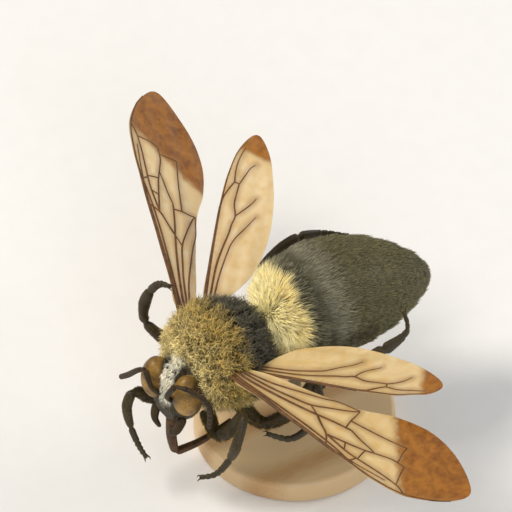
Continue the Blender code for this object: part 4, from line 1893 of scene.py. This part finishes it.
def wings() -> list[Wing]:
    """The four wings, each with its own sweep, rise and twist.

    Returns:
        Both left wings, then both right ones.
    """
    fore_angles = {Side.LEFT: (21.4, 2.4, 0.0), Side.RIGHT: (22.3, 3.2, -33.0)}
    hind_angles = {Side.LEFT: (39.3, 12.6, 0.0), Side.RIGHT: (42.5, 13.7, 0.0)}
    made = []
    for side in Side:
        fore_root, hind_root = (1.6, 4.0 * side.value, 0.0), (-0.5, 3.9 * side.value, -0.55)
        fore = (side, FOREWING_LENGTH, fore_root, fore_angles[side], FOREWING_EDGE, FORE_VEINS, FILM)
        hind = (side, HINDWING_LENGTH, hind_root, hind_angles[side], HINDWING_EDGE, HIND_VEINS, HIND_FILM)
        made += [Wing(f"wing_fore_{side.word}", *fore), Wing(f"wing_hind_{side.word}", *hind)]
    return made


# ---------------------------------------------------------------------------------------------------
# Head parts


@dataclass(frozen=True)
class HeadParts:
    """Eyes, ocelli, feelers, jaws and tongue.

    All but the tongue are in the head's own axes, for the left side. The tongue is in the bee's.
    """

    head: Head
    scape: Stations = (
        (0.85, 0.38, -0.02, 0.16),
        (1.25, 0.52, 0.55, 0.18),
        (1.75, 0.70, 1.50, 0.19),
        (1.66, 1.28, 2.76, 0.23),
    )
    flagellum_left: Stations = (
        (1.64, 1.32, 2.80, 0.18),
        (1.40, 2.65, 2.92, 0.20),
        (1.00, 3.74, 1.88, 0.22),
        (0.86, 3.69, -0.48, 0.20),
    )
    flagellum_right: Stations = (
        (1.64, 1.32, 2.80, 0.18),
        (1.58, 2.05, 2.08, 0.20),
        (1.25, 3.07, 0.64, 0.22),
        (0.87, 4.04, -0.62, 0.20),
    )
    segments: int = 11
    first_segment: float = 0.82
    segment: tuple[float, ...] = (0.72, 0.95, 1.0, 1.0, 0.84)
    mandible: Stations = (
        (0.45, 1.12, -1.5, 0.40, 0.28),
        (0.85, 1.08, -2.1, 0.40, 0.26),
        (1.08, 0.90, -2.6, 0.34, 0.22),
        (1.15, 0.38, -3.05, 0.2, 0.14),
    )
    tongue_sheath: Stations = (
        (4.5, 0.5, -4.6, 0.48, 0.34),
        (4.75, 0.75, -7.0, 0.42, 0.3),
        (4.6, 1.0, -8.7, 0.34, 0.26),
    )
    tongue_blade: Stations = (
        (4.6, 1.0, -8.7, 0.34, 0.24),
        (2.6, 1.30, -8.3, 0.27, 0.2),
        (0.35, 1.40, -7.3, 0.14, 0.12),
    )
    ocelli_places: Stations = ((0.72, 0.0, 2.14), (0.42, 0.3, 2.48), (0.42, -0.3, 2.48))
    ocellus: float = 0.17

    def mirrored(self, stations: Stations, side: Side) -> np.ndarray:
        """Stations of the left side, put on a side and into the bee's axes.

        Args:
            stations: Rows of place and half width, and half thickness where the part isn't round.
            side: The side they are wanted on.

        Returns:
            Rows of place, half width and half thickness.
        """
        rows = rounded(stations)
        rows[:, 1] *= side.value
        rows[:, :3] = self.head.placed(rows[:, :3])
        return rows

    def eye(self, side: Side) -> None:
        """One compound eye.

        Args:
            side: The side it is on.
        """
        head = self.head
        offsets = ball_rings(head.eye_half, 64, 64, pole=1)
        centre = np.array(head.eye_place) * (1, side.value, 1)
        surface = RingForm(head.placed(offsets + centre)).surface()
        add_piece(f"eye_{side.word}_lens", surface, EYE, (f"eye_{side.word}",), ALL_SMOOTH)

    def feeler(self, side: Side) -> None:
        """A scape, a pedicel and ten short flagellum segments.

        Args:
            side: The side it is on.
        """
        runs = [limb_rings(self.mirrored(self.scape, side), 16, UPRIGHT, 0.06)]
        flagellum = self.flagellum_left if side is Side.LEFT else self.flagellum_right
        curve = smooth_curve(self.mirrored(flagellum, side), 20)
        total = lengths_along(curve[:, :3])[-1]
        for k in range(self.segments):
            start, stop = total * np.array((k, k + 1.04)) / self.segments
            run = read_at(np.linspace(start, min(stop, total), len(self.segment)), curve)
            run[:, 3:] *= np.array(self.segment)[:, None] * (self.first_segment if k == 0 else 1.0)
            runs.append(tube_rings(run[:, :3], run[:, 3], run[:, 4], 16, UPRIGHT))
        surface = joined([RingForm(rings).surface() for rings in runs])
        nodes = (f"antenna_{side.word}_scape", f"antenna_{side.word}_flagellum")
        add_piece(f"feeler_{side.word}", surface, HORN, nodes)

    def jaw(self, side: Side) -> None:
        """A spoon-shaped jaw.

        Args:
            side: The side it is on.
        """
        rings = limb_rings(self.mirrored(self.mandible, side), 16, (0, 1, 0.2), 0.05)
        add_piece(f"jaw_{side.word}", RingForm(rings).surface(), HORN, (f"mandible_{side.word}",))

    def tongue(self) -> None:
        """The sheath from the mouth and the blade folded back under the breast."""
        side = self.head.turned((0.0, 1.0, 0.0))
        runs = {"sheath": (self.tongue_sheath, "base"), "blade": (self.tongue_blade, "blade")}
        for name, (run, end) in runs.items():
            surface = RingForm(limb_rings(np.array(run), 18, side, 0.08)).surface()
            add_piece(f"tongue_{name}", surface, TONGUE, (f"proboscis_{end}",))

    def ocelli(self) -> None:
        """Three simple eyes on the crown."""
        ball = ball_rings((self.ocellus,) * 3, 16, 20)
        balls = [RingForm(self.head.placed(ball + np.array(place))).surface() for place in self.ocelli_places]
        add_piece("ocelli", joined(balls), OCELLUS, crease=ALL_SMOOTH)

    def coat(self, test: SkinTest) -> None:
        """Short face hair, pale between the eyes, with a standing crest on the crown.

        Args:
            test: Tells which roots lie on the skin.
        """
        rng = np.random.default_rng(21)
        head = self.head
        roots = test.open_roots(head.ring_form().scatter(6500, rng, evenly))
        own = head.own(roots.places)
        forward, left, up = own.T
        from_eye = np.column_stack((forward, np.abs(left), up)) - np.array(head.eye_place)
        eye = from_eye / (np.array(head.eye_half) + 0.04)
        clypeus = (forward > 0.5) & (np.hypot(left / 0.85, (up + 1.3) / 0.8) < 1.0)
        clear = ((eye**2).sum(1) > 1.0) & (~clypeus | (rng.random(len(up)) < 0.25))
        keep = roots.kept(clear)
        forward, left, up = own[clear].T
        crown = ramp(1.7, 2.4, up)
        blaze = ramp(0.56, 0.36, np.abs(left)) * ramp(-0.5, 0.3, up)
        behind = ramp(0.2, -0.8, forward)
        scale = 0.42 + 0.45 * blaze + 0.6 * crown + 0.4 * behind
        flow = np.array(head.turned((0.0, 0.0, -1.0)))[None] * (1 - crown)[:, None]
        flow = flow + np.array(head.turned((0.6, 0.0, 0.5)))[None] * crown[:, None] + keep.normals * 0.2
        lift = 0.3 + 0.15 * blaze + 0.3 * crown
        lock = Lock(0.45, 0.02, bend=0.4, loose=0.2, clump=0.15, rings=3)
        coat = lock.grown(keep, flow, rng, scale, lift)
        add_piece("coat_head", coat, FACE_PILE, crease=ALL_SMOOTH)

    def build(self, test: SkinTest) -> None:
        """Make every part of the head that isn't skin, and its coat.

        Args:
            test: Tells which roots lie on the skin.
        """
        for side in Side:
            self.eye(side)
            self.feeler(side)
            self.jaw(side)
        self.tongue()
        self.ocelli()
        self.coat(test)


# ---------------------------------------------------------------------------------------------------
# Stand and studio


@dataclass(frozen=True)
class Stand:
    """A turned maple disc and a steel rod up to the underside of the abdomen. Sizes in millimetres.

    collar is the foot of the rod: how many times its radius, and how high. chamfer is how high the
    bevels of rod and collar are.
    """

    round_edge: float = 0.35
    hole: float = 0.62
    countersink: float = 0.9
    hole_depth: float = 0.02
    sunk: float = 0.1
    collar: tuple[float, float] = (1.5, 0.35)
    chamfer: float = 0.1
    sides: int = 128

    def turned(self, profile: list[tuple[float, float]], middle: Vector) -> Surface:
        """Turn a profile of (radius, height), in row metres, round an upright axis.

        Args:
            profile: Its corners, from the foot's middle to the top's.
            middle: A point on the axis.

        Returns:
            The closed form, in bee millimetres.
        """
        turn = np.arange(self.sides) / self.sides * TAU
        rings = [
            np.stack((middle.x + r * np.cos(turn), middle.y + r * np.sin(turn), np.full(self.sides, z)), 1)
            for r, z in profile
        ]
        local = (np.array(rings) - BEE.origin()) / MM
        return RingForm(np.stack((-local[..., 1], local[..., 0], local[..., 2]), -1)).surface()

    def disc(self) -> None:
        """The base, with a round upper edge and a hole for the rod."""
        low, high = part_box("stand_base")
        radius, edge = (high.x - low.x) / 2, self.round_edge * MM
        corner = [math.radians(a) for a in range(0, 91, 15)]
        floor = high.z - self.hole_depth * MM
        profile = [
            (radius * 0.02, low.z),
            (radius - edge * 0.5, low.z),
            (radius, low.z + edge * 0.5),
            *((radius - edge + edge * math.cos(a), high.z - edge + edge * math.sin(a)) for a in corner),
            (self.countersink * MM, high.z),
            (self.hole * MM, floor),
            (0.1 * MM, floor),
        ]
        surface = self.turned(profile, (low + high) / 2)
        add_piece("stand_disc", surface, MAPLE, ("stand_base",), crease=35)

    def pin(self) -> None:
        """The rod, with a collar at its foot and a bevelled top."""
        low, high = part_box("stand_rod")
        radius = (high.x - low.x) / 2
        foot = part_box("stand_base")[1].z - self.sunk * MM
        wide, shoulder = radius * self.collar[0], foot + self.collar[1] * MM
        top = foot + (self.collar[1] + self.chamfer) * MM
        profile = [
            (radius * 0.1, foot),
            (wide, foot),
            (wide, shoulder),
            (radius * 1.35, top),
            (radius, top),
            (radius, high.z - self.chamfer * MM),
            (radius * 0.8, high.z),
            (radius * 0.1, high.z),
        ]
        surface = self.turned(profile, (low + high) / 2)
        add_piece("stand_pin", surface, STEEL, ("stand_rod",), crease=30)

    def build(self) -> None:
        """Make the base and the rod from the frame's own sizes."""
        self.disc()
        self.pin()


@dataclass(frozen=True)
class Lamp:
    """A soft box: where it stands, its size and its power, in metres and watts."""

    place: Triple
    size: float
    power: float
    tint: str = "#FFFFFF"


@dataclass(frozen=True)
class Studio:
    """A pale card floor, soft boxes and the camera.

    azimuth and elevation are degrees round and up from the bee's front. field is how wide the view is at
    the bee, and aim_right and aim_up how far it is centred from the wing roots, in millimetres. card is
    the floor's half width in metres.
    """

    azimuth: float = 60.0
    elevation: float = 48.4
    field: float = 35.2
    lens: float = 1300.0
    sensor: float = 36.0
    aim_right: float = 2.096
    aim_up: float = 5.361
    lamps: tuple[Lamp, ...] = (
        Lamp((-0.16, -0.24, 0.40), 0.18, 1.6, "#FFF8EF"),
        Lamp((0.40, -0.10, 0.26), 0.30, 0.6, "#F2F6FF"),
        Lamp((0.05, 0.40, 0.26), 0.24, 0.7, "#FFFFFF"),
    )
    sky: str = "#E9ECEF"
    sky_strength: float = 0.42
    card: float = 1.2
    clip: tuple[float, float] = (0.01, 10.0)

    def floor(self) -> None:
        """A sheet of card, wide enough for every view."""
        mesh = bpy.data.meshes.new("floor")
        corners = [(x * self.card, y * self.card, 0) for x, y in ((-1, -1), (1, -1), (1, 1), (-1, 1))]
        mesh.from_pydata(corners, [], [range(4)])
        mesh.materials.append(CARD.material())
        sheet = bpy.data.objects.new("floor", mesh)
        bpy.context.scene.collection.objects.link(sheet)

    def light(self) -> None:
        """Set up the soft boxes and the pale surroundings."""
        for number, lamp in enumerate(self.lamps):
            data = bpy.data.lights.new(f"softbox_{number}", "AREA")
            data.shape, data.size, data.energy = "DISK", lamp.size, lamp.power
            data.color = linear(lamp.tint)[:3]
            light = bpy.data.objects.new(data.name, data)
            light.location = lamp.place
            light.rotation_euler = (-Vector(lamp.place)).to_track_quat("-Z", "Y").to_euler()
            light.visible_camera = False
            bpy.context.scene.collection.objects.link(light)
        world = bpy.data.worlds.new("studio")
        world.use_nodes = True
        ground = world.node_tree.nodes["Background"]
        ground.inputs[0].default_value = linear(self.sky)
        ground.inputs[1].default_value = self.sky_strength
        bpy.context.scene.world = world
        bpy.context.scene.view_settings.view_transform = "Standard"

    def camera(self) -> None:
        """Look down at the bee from its front left."""
        a, e = math.radians(self.azimuth), math.radians(self.elevation)
        back = Vector((math.sin(a) * math.cos(e), -math.cos(a) * math.cos(e), math.sin(e)))
        right = Vector((math.cos(a), math.sin(a), 0.0))
        up = back.cross(right)
        aim = Vector(BEE.origin()) + (right * self.aim_right + up * self.aim_up) * MM
        data = bpy.data.cameras.new("camera")
        data.lens, data.sensor_width = self.lens, self.sensor
        data.clip_start, data.clip_end = self.clip
        camera = bpy.data.objects.new("camera", data)
        camera.location = aim + back * (self.field * MM * self.lens / self.sensor)
        camera.rotation_mode = "QUATERNION"
        camera.rotation_quaternion = (-back).to_track_quat("-Z", "Y")
        bpy.context.scene.collection.objects.link(camera)
        bpy.context.scene.camera = camera

    def build(self) -> None:
        """Make the whole studio."""
        self.floor()
        self.light()
        self.camera()


def main() -> None:
    """Build the studio, then the bee from its skin outwards, then its stand."""
    logging.basicConfig(level=logging.INFO, format="%(message)s")
    Studio().build()
    body = Body()
    test = SkinTest(body.skin())
    body.coat_thorax(test)
    body.coat_abdomen(test)
    body.coat_legs(test)
    HeadParts(body.head).build(test)
    for wing in wings():
        wing.build()
    Stand().build()


if __name__ == "__main__":
    main()
